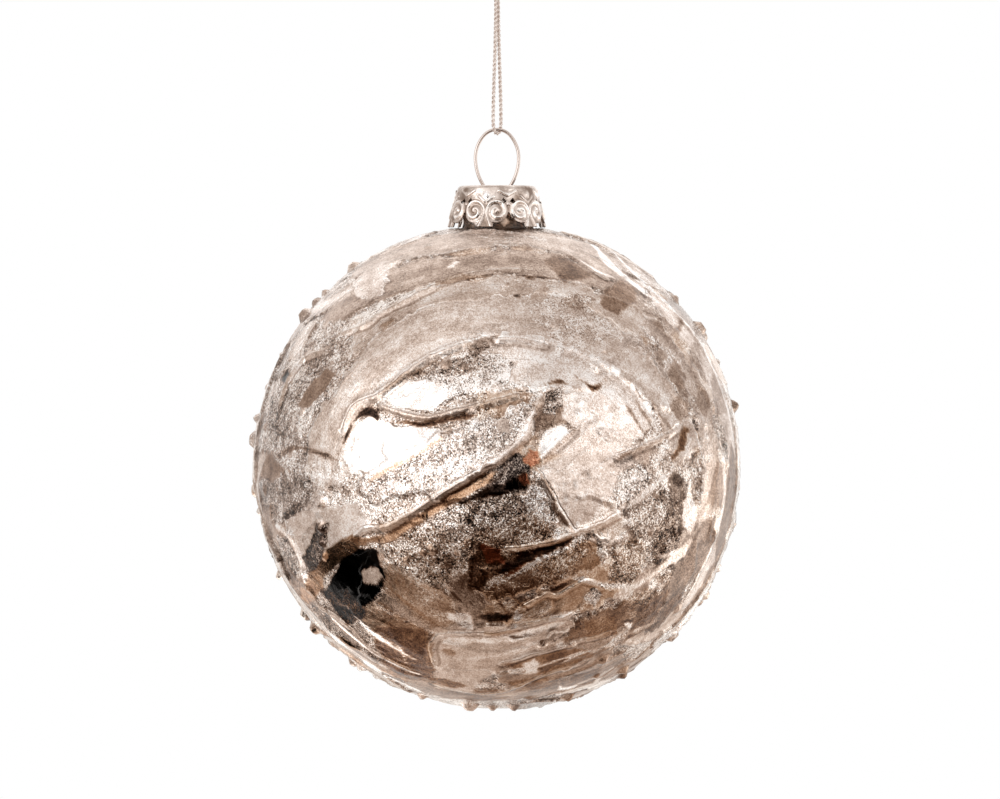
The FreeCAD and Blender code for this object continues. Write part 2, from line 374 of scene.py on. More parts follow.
def plies(line, phase=0.0):
    """The twisted plies of the thread along its centre line: vertices, quads and the distance along each."""
    line = even_line(line, PLY_STEP_MM * MM)
    first, second = carried_frames(line)
    run = distances_along(line)
    taper = np.minimum(1, np.minimum(run, run[-1] - run) / (PLY_TIP_MM * MM) + PLY_TIP_SHARE)
    parts = []
    for ply in range(PLY_COUNT):
        turn = run / (PLY_PITCH_MM * MM) * TAU + ply * TAU / PLY_COUNT + phase
        centre = line + PLY_OFFSET_MM * MM * (np.cos(turn)[:, None] * first + np.sin(turn)[:, None] * second)
        verts, quads = tube_mesh(centre, PLY_RADIUS_MM * MM * taper, PLY_CORNERS)
        parts.append((verts, quads, np.repeat(run, PLY_CORNERS)))
    return joined(parts)


def thread_material():
    s = Shader(bpy.data.materials.new("metallic_thread"))
    fibres = s.noise(s.attribute("twist", "Vector"), 1.0, 3, 0.6)
    glint = s.noise(s.coordinates(), 1900, 2, 0.6)
    tone = s.ramp(s.times(fibres, glint), 0.12, 0.42)
    s.set(Base_Color=s.mix(tone, linear(214, 198, 188), linear(253, 248, 244)), Metallic=0.4)
    s.set(Roughness=s.ramp(glint, 0.3, 0.7, 0.22, 0.5), Normal=s.bump(fibres, 0.00012, 0.7))
    return s.owner


def add_thread(name, verts, quads, along):
    """A piece of thread, with the place along and round each ply in its attribute for the fibres."""
    obj = add_mesh(name, verts, quads, thread)
    ring = np.arange(len(verts)) % PLY_CORNERS
    twist = [along / MM * FIBRES_PER_MM, ring * FIBRES_PER_CORNER, np.zeros(len(verts))]
    add_attribute(obj, "twist", np.stack(twist, axis=1))
    return obj


def knot_piece():
    """The knot: one strand wound a little over twice about the other, with both tails out at the top."""
    wrap = []
    for index in range(KNOT_POINTS):
        share = index / (KNOT_POINTS - 1)
        turn = -0.5 * math.pi + share * KNOT_TURNS * TAU
        height = KNOT_FOOT_MM + KNOT_HEIGHT_MM * share
        wrap.append(Vector((KNOT_RADIUS_MM * math.cos(turn), KNOT_RADIUS_MM * math.sin(turn), height)) * MM)
    enter = [(-0.42, 1.9), (-0.5, 2.5)]
    leave = [(-0.4, 6.4), (-0.8, 8.2), (-1.5, 10.4)]
    straight = [(0.42, 1.9), (0.25, 3.0), (-0.1, 3.9), (0.1, 5.0), (0.42, 6.4), (0.7, 8.6), (1.35, 11.3)]
    strands = [loop_points(enter) + wrap + loop_points(leave), loop_points(straight)]
    parts = []
    for index, points in enumerate(strands):
        parts.append(plies(nurbs_line(points, KNOT_PIECES), index * KNOT_PHASE))
    return add_thread("thread_knot", *joined(parts))


half = [loop_point(-spread, height) for spread, height in THREAD_ROUTE]
route = half + [loop_point(spread, height) for spread, height in THREAD_ROUTE[::-1]]
route_line = nurbs_line(route, ROUTE_PIECES)
thread = thread_material()
cord = add_thread("thread_loop", *plies(route_line))
knot = knot_piece()
for piece, node in ((cord, "cord"), (knot, "cord_knot")):
    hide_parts(node)
    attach(piece, "cord")


# ---------------------------------------------------------------- metal of the clip
def wire_material():
    s = Shader(bpy.data.materials.new("clip_wire"))
    place = s.coordinates()
    drawn = s.noise(s.vector("MULTIPLY", place, (1, 1, 0.25)), 2600, 3, 0.6)
    cloud = s.noise(place, 420, 2, 0.5)
    s.set(Base_Color=s.mix(cloud, linear(196, 182, 174), linear(226, 214, 207)), Metallic=1.0)
    s.set(Roughness=s.ramp(cloud, 0.3, 0.7, 0.16, 0.3), Normal=s.bump(drawn, 0.00003, 0.35))
    return s.owner


set_material(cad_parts["wire_clip"], wire_material())


# ---------------------------------------------------------------- the glass and its neck
def glass_material():
    s = Shader(bpy.data.materials.new("silvered_glass"))
    cloud = s.noise(s.coordinates(), 260, 3, 0.6)
    s.set(Base_Color=s.mix(s.ramp(cloud, 0.35, 0.65), linear(236, 230, 226), linear(186, 158, 136)))
    s.set(Metallic=0.7, Roughness=s.ramp(cloud, 0.3, 0.7, 0.05, 0.22), Coat_Weight=0.6, Coat_Roughness=0.03)
    s.set(Normal=s.bump(cloud, 0.0002, 0.5))
    return s.owner


set_material(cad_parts["glass_ball"], glass_material())


# ---------------------------------------------------------------- the relief: places and lines on the ball
CELLS = 128                    # cells along each edge of the cube that the ball's grid starts from
FRONT_DENSITY = 1.4            # an even grid's cell over a cell at the very front
KEY_STEPS = 1e6                # steps per radius in which two places count as one
LATTICE = 4096                 # values in a noise's table
LATTICE_KEYS = np.array([73, 911, 2417])
FAR = 1e9                      # more than any distance here


def direction(longitude, latitude):
    """Unit vectors from the ball's centre: longitude 0 faces the front, 90 faces +X."""
    turn = np.radians(longitude)
    rise = np.radians(latitude)
    return np.stack([np.cos(rise) * np.sin(turn), -np.cos(rise) * np.cos(turn), np.sin(rise)], axis=-1)


def seen_from_camera(places):
    """Where on the ball an eye that is near and a little high sees directions given for a flat front view."""
    eye = np.array([AIM.x, -CAMERA_DISTANCE, CAMERA_RISE]) / (BALL_RADIUS_MM * MM)
    ahead = -unit(eye)
    right = unit(np.cross(ahead, (0, 0, 1)))
    up = np.cross(right, ahead)
    spread = 1 / math.sqrt(eye @ eye - 1)
    rays = unit(ahead + (places[..., :1] * right + places[..., 2:] * up) * spread)
    along = rays @ eye
    reach = -along - np.sqrt(np.maximum(along**2 - eye @ eye + 1, 0))
    return unit(eye + rays * reach[..., None])


def ball_grid(cells, front_density):
    """Directions and quads of a cube grown onto a sphere, with its cells drawn together at the front."""
    ticks = np.tan(np.linspace(-0.25, 0.25, cells + 1) * math.pi)
    a, b = np.meshgrid(ticks, ticks, indexing="ij")
    one = np.ones_like(a)
    sides = [(one, a, b), (-one, b, a), (b, one, a), (a, -one, b), (a, b, one), (b, a, -one)]
    points = []
    quads = []
    for x, y, z in sides:
        index = np.arange(len(points) * a.size, (len(points) + 1) * a.size).reshape(a.shape)
        corners = [index[:-1, :-1], index[1:, :-1], index[1:, 1:], index[:-1, 1:]]
        points.append(np.stack([x, y, z], axis=-1).reshape(-1, 3))
        quads.append(np.stack(corners, axis=-1).reshape(-1, 4))
    points = unit(np.vstack(points))
    # the cube's edges are shared by two sides
    keys = np.round(points * KEY_STEPS).astype(np.int64)
    _, first, inverse = np.unique(keys, axis=0, return_index=True, return_inverse=True)
    points = points[first]
    quads = inverse.reshape(-1)[np.vstack(quads)]
    # a stereographic view from the back pole, shrunk and put back, keeps the cells square
    depth = 1 - points[:, 1]
    flat = points[:, [0, 2]] / np.maximum(depth, 1 / FAR)[:, None] / front_density
    size = (flat**2).sum(axis=1)
    grown = np.stack([2 * flat[:, 0], size - 1, 2 * flat[:, 1]], axis=1) / (1 + size)[:, None]
    grown[depth < 1 / FAR] = (0, 1, 0)
    return grown, quads


def value_noise(points, scale, seed):
    """Smooth noise between 0 and 1 on a lattice with the scale's cells per unit."""
    table = np.random.default_rng(seed).random(LATTICE)
    place = points * scale + 100.0
    cell = np.floor(place).astype(np.int64)
    t = place - cell
    t = t * t * (3 - 2 * t)
    total = np.zeros(len(points))
    for corner in range(8):
        step = np.array([corner & 1, corner >> 1 & 1, corner >> 2 & 1])
        key = (cell + step) @ LATTICE_KEYS % LATTICE
        total += np.prod(np.where(step, t, 1 - t), axis=1) * table[key]
    return total


def wave(points, scale, seed):
    """The same noise between -0.5 and 0.5."""
    return value_noise(points, scale, seed) - 0.5


def smooth_line(points, pieces=6):
    """Directions along a smooth line through given (longitude, latitude) points."""
    way = direction(*np.array(points, float).T)
    if len(way) == 2:
        way = np.array([way[0], unit(way.sum(axis=0)), way[1]])
    padded = np.vstack([2 * way[0] - way[1], way, 2 * way[-1] - way[-2]])
    line = []
    for p0, p1, p2, p3 in zip(padded, padded[1:], padded[2:], padded[3:]):
        for t in np.arange(pieces) / pieces:
            line.append(0.5 * (2 * p1 + (p2 - p0) * t + (2 * p0 - 5 * p1 + 4 * p2 - p3) * t**2
                               + (3 * p1 - p0 - 3 * p2 + p3) * t**3))
    line.append(way[-1])
    return unit(np.array(line))


def along_line(points, line):
    """For each point the mm across the line (positive on its left) and along it; and the line's length."""
    points = points * BALL_RADIUS_MM
    line = line * BALL_RADIUS_MM
    spans = np.diff(line, axis=0)
    lengths = np.linalg.norm(spans, axis=1)
    starts = np.r_[0, np.cumsum(lengths)]
    best = np.full(len(points), FAR)
    across = np.zeros(len(points))
    along = np.zeros(len(points))
    for index, (start, span, length) in enumerate(zip(line, spans, lengths)):
        offset = points - start
        low = -FAR if index == 0 else 0
        high = FAR if index == len(spans) - 1 else 1
        t = np.clip(offset @ span / length**2, low, high)
        gap = offset - t[:, None] * span
        distance = np.linalg.norm(gap, axis=1)
        left = np.cross(start + span / 2, span)
        nearer = distance < best
        best = np.where(nearer, distance, best)
        across = np.where(nearer, distance * np.sign(gap @ left), across)
        along = np.where(nearer, starts[index] + t * length, along)
    return across, along, starts[-1]


# ---------------------------------------------------------------- the relief: tables of the front
# Strokes of the trowel, laid one over another from first to last: points (longitude, latitude),
# width in degrees, lift in mm, tilt across in degrees, roughness, tone, warmth, grain.
# A tone runs from black at 0 to white at 1; here it holds painted reflection and painted shade of the mirror
# as well as the coat's own colour. Warmth runs from grey at 0 through brown at 1 to orange at 2; the brown of
# the lower half is partly painted reflection of brown surroundings below, and the orange is painted
# reflection of a warm lamp. Grain runs from smooth paste at 0 to glittering crumbs at 1.
FRONT_STROKES = [
    # concentric sweeps round the cap
    ([(-75, 52), (-40, 66), (0, 70), (45, 64), (80, 46)], 12, 0.10, 2, 0.26, 0.70, 0.2, 0.05),
    ([(-62, 36), (-40, 50), (-5, 56), (35, 52), (62, 40)], 11, 0.14, -2, 0.24, 0.62, 0.3, 0.10),
    ([(-66, 56), (-54, 50), (-44, 44)], 8, 0.12, 3, 0.24, 0.78, 0.1, 0.10),
    ([(-42, 27), (-32, 37), (-18, 44), (5, 46), (32, 42), (48, 33)], 9, 0.12, 1, 0.26, 0.80, 0.3, 0.10),
    ([(38, 62), (50, 52), (62, 46)], 7, 0.14, -3, 0.22, 0.66, 0.2, 0.10),
    # right side, running down beside the limb
    ([(62, 44), (72, 20), (76, -8), (70, -36)], 8, 0.12, 4, 0.20, 0.80, 0.1, 0.10),
    ([(48, 36), (57, 22), (61, 4), (60, -20)], 8, 0.16, -3, 0.22, 0.70, 0.2, 0.30),
    ([(46, -2), (56, -22), (60, -44)], 8, 0.18, 4, 0.20, 0.38, 0.3, 0.25),
    ([(80, 20), (83, 2), (80, -14)], 6, 0.35, -5, 0.16, 0.92, 0.1, 0.05),
    ([(84, -10), (82, -30), (74, -48)], 6, 0.45, 6, 0.16, 0.90, 0.1, 0.15),
    ([(-86, 30), (-84, 14), (-86, -4)], 6, 0.35, 5, 0.20, 0.80, 0.1, 0.15),
    # left side and the long sweeps along the lower left limb
    ([(-74, 36), (-62, 22), (-50, 12)], 9, 0.14, 3, 0.22, 0.76, 0.3, 0.45),
    ([(-78, 8), (-62, 4), (-46, 2)], 8, 0.12, -3, 0.20, 0.68, 0.1, 0.55),
    ([(-80, -6), (-66, -7), (-50, -5)], 7, 0.12, 3, 0.20, 0.56, 0.1, 0.55),
    ([(-84, -14), (-76, -32), (-60, -50), (-30, -66)], 8, 0.40, 6, 0.14, 0.74, 0.1, 0.05),
    ([(-72, -24), (-62, -40), (-44, -54), (-22, -60)], 7, 0.18, -5, 0.18, 0.44, 0.4, 0.35),
    # bottom
    ([(-50, -62), (-10, -72), (30, -68), (60, -52)], 10, 0.12, 3, 0.20, 0.48, 0.7, 0.05),
    ([(-30, -50), (-8, -54), (20, -52), (48, -38)], 9, 0.18, -4, 0.28, 0.68, 0.4, 0.05),
    ([(0, -62), (24, -60), (50, -50)], 7, 0.14, 3, 0.20, 0.54, 0.6, 0.15),
    # brown ground of the lower left with its diagonal sweeps; the brown is partly painted reflection of brown
    # surroundings below
    ([(-46, -36), (-34, -42), (-24, -50)], 10, 0.20, -3, 0.24, 0.52, 0.9, 0.30),
    ([(-34, -26), (-24, -32), (-12, -40)], 11, 0.22, 3, 0.26, 0.60, 0.8, 0.40),
    ([(-30, -14), (-20, -20), (-10, -26)], 12, 0.24, -2, 0.26, 0.58, 0.6, 0.70),
    # the broad pink sweep that curves down the left
    ([(-46, -6), (-41, 12), (-30, 27), (-12, 36), (14, 37), (36, 30)],
     13, 0.24, 2, 0.26, 0.80, 0.2, 0.05),
    # the upper front
    ([(-4, 24), (14, 25), (30, 16), (36, 6)], 13, 0.26, -1, 0.22, 0.88, 0.1, 0.08),
    ([(36, 28), (46, 16), (52, 2)], 10, 0.20, 2, 0.22, 0.80, 0.2, 0.25),
    ([(-18, 19), (-8, 22), (4, 24)], 9, 0.20, -2, 0.20, 0.82, 0.1, 0.70),
    # the band over the main diagonal ridge, and the ground under it
    ([(-34, -7), (-16, 0), (0, 7), (9, 13)], 10, 0.34, 3, 0.20, 0.76, 0.1, 0.60),
    ([(-12, -12), (0, -12), (12, -12)], 9, 0.10, -3, 0.20, 0.58, 0.4, 0.90),
    ([(-8, -20), (2, -19), (14, -15)], 8, 0.04, 3, 0.14, 0.54, 0.8, 0.70),
    # lower right
    ([(36, -4), (42, -14), (48, -24)], 11, 0.18, -3, 0.22, 0.52, 0.3, 0.65),
    ([(-6, -30), (8, -27), (18, -24), (27, -21)], 9, 0.22, -3, 0.22, 0.54, 1.0, 0.30),
    ([(-4, -38), (12, -36), (28, -30), (36, -28)], 9, 0.26, -2, 0.24, 0.72, 1.0, 0.35),
    ([(24, -44), (38, -40), (52, -32)], 10, 0.22, 3, 0.24, 0.44, 0.8, 0.20),
    ([(-16, -42), (4, -43), (24, -40)], 5, 0.28, 3, 0.24, 0.76, 0.3, 0.05),
    ([(40, -30), (48, -24), (58, -14)], 5, 0.30, 4, 0.20, 0.58, 0.2, 0.10),
]

# Painted areas over the strokes, many of them painted reflection, painted highlight and painted shade of the
# mirror: outline (longitude, latitude), tone, warmth, grain, roughness.
FRONT_AREAS = [
    # left side
    ([(-61, -13), (-48, -10), (-36, -9), (-33, -13), (-40, -18), (-48, -21), (-60, -22)],
     0.82, 0.2, 0.20, 0.45),
    ([(-60, -22), (-50, -20), (-49, -23), (-58, -27)], 0.20, 0.3, 0.6, 0.1),
    ([(-50, -14), (-46, -14), (-48, -19), (-56, -24.5), (-57, -21)], 0.26, 0.2, 0.85, 0.1),
    ([(-43, -15), (-39, -9), (-34, -13), (-35, -16), (-42, -18)], 0.88, 0.2, 0.05, 0.50),
    ([(-72, -17), (-64, -17), (-62, -23), (-68, -28)], 0.58, 0.2, 0.9, 0.2),
    # painted dark reflection: the black patch, and the dark brown one under it
    ([(-57, -33), (-50, -27.5), (-46, -25), (-43, -21.5), (-38, -20), (-32, -20.5), (-31.5, -27),
      (-33, -30.5), (-38, -33.5), (-46, -36.5), (-52, -37), (-56, -35)],
     -0.12, 0.3, 0.16, 0.05),
    ([(-58, -31), (-46, -31), (-42, -37), (-48, -40), (-54, -41)], -0.02, 0.8, 0.60, 0.35),
    ([(-39.5, -28), (-38.5, -26), (-35, -24.5), (-33, -25), (-32, -27.5), (-35, -29.6), (-39.3, -29.4)],
     0.76, 0.3, 0.0, 0.45),
    ([(-58, 14), (-50, 23.5), (-46, 22), (-48, 18), (-52, 14)], 0.52, 0.5, 0.05, 0.08),
    ([(-75, 16), (-66, 20), (-58, 16), (-60, 6), (-70, 4)], 0.58, 0.3, 0.9, 0.2),
    # a painted dark reflection and a painted glint beside it
    ([(-71, 21), (-68, 23), (-65, 21.5), (-68, 19.5)], 0.08, 0.3, 0.1, 0.1),
    ([(-65, 22), (-63, 25), (-61, 24), (-63, 22)], 1.0, 0.0, 0.1, 0.1),
    # blown white facet, a painted reflection of a bright light, and the crescent at its top, a painted dark
    # reflection
    ([(-39, 4), (-36, 9.5), (-33, 12), (-30, 11), (-26, 9.5), (-20, 9.5), (-13, 8.5), (-15, 5),
      (-24, 0.5), (-31, -2), (-38, -1)],
     0.97, 0.0, 0.27, 0.12),
    ([(-37.5, 10), (-36, 13), (-33, 14.5), (-30.3, 13), (-30, 10), (-32, 11.8), (-35, 11.2)],
     0.10, 0.5, 0.2, 0.1),
    ([(-29, 16), (-27, 20), (-18, 20.5), (-12, 17), (-16, 13.5), (-25, 13.5)], 0.97, 0.0, 0.12, 0.10),
    # between the main ridge and the upper front
    ([(-15, 22), (-15, 25), (-7, 27), (-3, 26), (-5, 23), (-10, 22)], 0.55, 0.3, 0.9, 0.15),
    ([(11, 13), (12.5, 17), (16, 18.6), (16, 14), (14, 12)], 0.62, 0.2, 1.0, 0.15),
    # a painted highlight
    ([(10, 2), (11, 8), (16, 10), (18, 7.5), (12, 2)], 1.0, 0.0, 0.0, 0.06),
    ([(16, 11), (17, 18), (26, 18), (29, 10), (20, 8)], 0.88, 0.15, 0.08, 0.26),
    # black wedge under the main ridge, painted shade and dark reflection, with a painted orange reflection at
    # its end
    ([(-11, -9.6), (-6, -6.5), (-1, -3.5), (2, 1), (5, 3), (8, 1), (7.5, -4), (4, -6.4), (-3, -7),
      (-7, -8.6)],
     0.38, 0.0, 0.55, 0.10),
    ([(-10, -9.6), (-6, -7.2), (-2, -5), (3, -3.4), (7, -3), (6.5, -5.4), (-2, -7), (-7, -8.8)],
     0.06, 0.6, 0.2, 0.08),
    ([(6, 1), (7.5, 3.5), (9.5, 3), (9.8, 0.5), (8, -0.5)], 0.56, 2.2, 0.1, 0.2),
    ([(5, -3.2), (7, -2), (7.6, -4), (6.4, -4.8)], 0.34, 2.4, 0.2, 0.2),
    # bright quad facet, a painted reflection of a bright light, and the paste over it
    ([(12, 2), (18, 8), (30, 10), (35, 5), (28, 2), (20, 2.5)], 0.82, 0.1, 0.08, 0.25),
    ([(10, -1.5), (12, 1), (20, 3.5), (28, 3), (30, -2), (27, -8), (23, -13), (19, -15.5), (15, -9),
      (12.5, -4)],
     0.79, 0.15, 0.22, 0.34),
    ([(31, -1), (36, 0), (39, -3), (33, -9), (29, -6)], 0.80, 0.1, 0.7, 0.2),
    ([(6, -8), (9, -4), (12, -6), (16, -14), (12, -14)], 0.80, 0.1, 0.7, 0.15),
    # dark wedge over the lower ridge, painted shade and dark reflection, with a painted orange reflection
    # and a painted glint in it
    ([(-7.5, -31), (-7.5, -25), (-5, -19.5), (2, -21.5), (8, -20.5), (14, -18.4), (19, -16.8),
      (19.4, -19), (14, -21.4), (9, -23.5), (5, -25.8), (0, -28.3), (-4, -30.5)],
     0.27, 0.9, 0.42, 0.10),
    ([(-1, -28), (2, -23.5), (9, -20.8), (18, -17.4), (18.6, -18.8), (10, -22.6), (4, -26)],
     0.08, 0.9, 0.15, 0.10),
    ([(-4, -19), (1, -20), (2, -24), (-3, -24)], 0.30, 2.2, 0.3, 0.2),
    ([(1.5, -20.5), (3.2, -18.8), (5, -20), (3.5, -21.2)], 0.9, 0.8, 0.1, 0.2),
    # lower plateaus, their brown partly painted reflection of brown surroundings below, with painted dark
    # reflection and painted highlights beside them, and the crumbs to the right of them
    ([(30, -19), (38, -17), (42, -23), (39, -30), (31, -28)], 0.52, 0.7, 0.8, 0.2),
    ([(10, -31), (14, -30.3), (20, -27.6), (26, -29), (25, -34), (24, -36.8), (16, -37), (15.5, -33)],
     0.68, 1.0, 0.0, 0.10),
    ([(-6, -38), (0, -37), (5, -37.5), (3, -39.5), (-3, -39.8)], 0.08, 0.7, 0.3, 0.1),
    ([(-15, -37), (-8, -37.5), (-7, -39.5), (-8, -43), (-11, -41), (-15, -39.5)], 0.96, 0.1, 0.25, 0.15),
    ([(4.5, -39), (6, -36.5), (8.5, -38), (6, -40)], 0.98, 0.0, 0.1, 0.12),
    ([(15, -39.5), (16, -37.4), (23, -36.8), (25.5, -39), (20, -39.4)], 1.0, 0.0, 0.1, 0.1),
    ([(25, -33), (27, -30.5), (31, -32), (29, -35)], 0.80, 0.1, 1.0, 0.15),
    # lower left browns, partly painted reflection of brown surroundings below, and the pink bulge beside them
    ([(-45, -44), (-38, -42), (-36, -50), (-44, -53)], 0.36, 1.0, 0.1, 0.14),
    ([(-37, -49), (-30, -45), (-26, -50), (-28, -58), (-37, -57)], 0.29, 1.2, 0.0, 0.10),
    ([(-25, -44.5), (-20, -43.5), (-24, -50), (-27, -51)], 0.14, 0.6, 0.1, 0.1),
    ([(-41, -41), (-23, -42.5), (-24, -50), (-32, -60), (-56, -62), (-50, -50)], 0.30, 1.0, 0.15, 0.16),
    ([(2, -55), (27, -47.5), (40, -51.5), (25, -60)], 0.46, 1.1, 0.1, 0.2),
    ([(-21, -43.5), (-8, -44), (6, -42.5), (23, -37.5), (17, -43), (13, -50), (2, -55), (-10, -65),
      (-20, -71), (-39, -66), (-26, -54), (-24, -50)],
     0.76, 0.35, 0.05, 0.36),
    ([(-20, -49.5), (-17, -49), (-15, -50.5), (-17, -52), (-20, -51.5)], 0.56, 0.8, 0.05, 0.2),
    ([(11, -55), (15, -53), (18.5, -55), (18, -59), (13, -59.5)], 0.95, 0.1, 0.1, 0.2),
    ([(19.5, -52), (27, -50), (29, -55), (21, -59)], 0.34, 1.1, 0.05, 0.1),
    ([(-58, -42), (-47, -40), (-48, -52), (-56, -54)], 0.46, 0.4, 0.6, 0.15),
    # right side, with painted highlights and painted dark reflections among the coat's own tones
    ([(34, 41), (39, 45.5), (52, 50), (55.5, 46), (50, 42.5), (45, 40.5), (39, 38)],
     0.50, 0.6, 0.0, 0.10),
    ([(46, 1.5), (48.5, 5), (51, 9.5), (52.8, 8.5), (50, 4)], 0.36, 1.2, 0.2, 0.1),
    ([(60, -9), (61.5, -4), (64, 0.5), (70, -2), (69, -10)], 0.52, 0.4, 0.1, 0.1),
    ([(53, -3), (54.5, -8), (57, -13), (55.5, -17), (51.5, -14), (50.5, -9)], 0.90, 0.1, 0.35, 0.25),
    ([(33.6, 3), (36, 4.6), (40, 4.6), (38, 0.5), (35, 1)], 0.66, 0.3, 0.0, 0.1),
    ([(50, 11), (52, 18), (58, 17), (58, 11)], 0.62, 0.3, 0.5, 0.2),
    ([(42, -16), (49, -8), (52, -18), (52, -26), (44, -24)], 0.34, 0.5, 0.7, 0.15),
    ([(44, -40.6), (47, -40), (51, -42), (49, -44)], 0.95, 0.1, 0.5, 0.1),
    ([(42, -40), (46, -39.4), (52, -41.4), (47, -40.6)], 0.14, 0.6, 0.3, 0.1),
    ([(20, -47.5), (22, -46.6), (26, -48), (23, -49.4)], 0.95, 0.1, 0.5, 0.1),
    ([(57, -14), (66, -12), (70, -22), (64, -30), (56, -26)], 0.42, 0.4, 0.3, 0.2),
    ([(58, -34), (64, -31), (67, -36), (60, -39)], 0.36, 0.6, 0.3, 0.2),
    ([(46, -36), (56, -30), (58, -42), (50, -47)], 0.34, 0.7, 0.3, 0.2),
    ([(70, -4), (75, 6), (81, -4), (80, -26), (71, -18)], 0.46, 0.4, 0.2, 0.2),
    ([(64, 12), (70, 20), (78, 26), (76, 12)], 0.62, 0.3, 0.3, 0.2),
    ([(60, 24), (66, 30), (72, 30), (66, 20)], 0.60, 0.3, 0.3, 0.2),
    ([(43, 28), (47, 31), (52, 27), (48, 23)], 0.66, 0.3, 0.5, 0.2),
    ([(52, 36), (58, 38), (62, 34), (56, 31)], 0.60, 0.4, 0.4, 0.2),
    ([(49, 22), (54, 26), (57, 21), (52, 18)], 0.54, 0.4, 0.2, 0.25),
    ([(58, 15), (61, 20), (65, 16), (61, 11)], 0.54, 0.4, 0.2, 0.25),
    ([(47, 14), (51, 17), (54, 13), (50, 10)], 0.58, 0.4, 0.3, 0.25),
    ([(20, 42), (28, 45), (34, 43), (26, 39.5)], 0.66, 0.4, 0.5, 0.2),
    ([(20, 58), (34, 59), (39, 50), (24, 49)], 0.42, 0.5, 0.2, 0.2),
    ([(74, -26), (78, -22), (80, -34), (74, -44)], 0.50, 0.6, 0.2, 0.2),
    # browns of the underside, partly painted reflection of brown surroundings below
    ([(-8, -43), (4, -42), (12, -43), (4, -45)], 0.46, 1.1, 0.1, 0.2),
    ([(6, -63), (24, -61), (34, -66), (14, -69)], 0.42, 1.1, 0.2, 0.2),
    ([(38, -60), (52, -57), (64, -64), (46, -67)], 0.34, 1.1, 0.1, 0.2),
    ([(-42, -60), (-26, -61), (-14, -66), (-34, -65)], 0.42, 1.1, 0.2, 0.2),
    ([(-40, -73), (-16, -71), (10, -73), (-16, -77)], 0.38, 1.1, 0.2, 0.2),
    ([(28, -40), (38, -38), (44, -44), (32, -47)], 0.46, 1.1, 0.3, 0.2),
    # small marks of the upper dome, with painted glints and painted dark reflections among them
    ([(4, 48), (6, 49.4), (5, 49), (3, 48)], 0.5, 0.4, 0.2, 0.2),
    ([(10, 43), (17, 48.5), (18, 46), (14, 42.6)], 0.72, 0.4, 0.0, 0.1),
    ([(-36, 35), (-33, 37.6), (-31, 36.5), (-34, 33.4)], 0.56, 0.7, 0.3, 0.2),
    ([(-21, 54), (-18.5, 57.5), (-15.5, 57.5), (-18, 55)], 0.98, 0.1, 0.2, 0.1),
    ([(-16.6, 58.3), (-14, 58), (-15, 57)], 0.2, 0.4, 0.1, 0.1),
    ([(6, 44), (8, 45.3), (8.2, 43.6)], 0.12, 0.4, 0.3, 0.1),
]
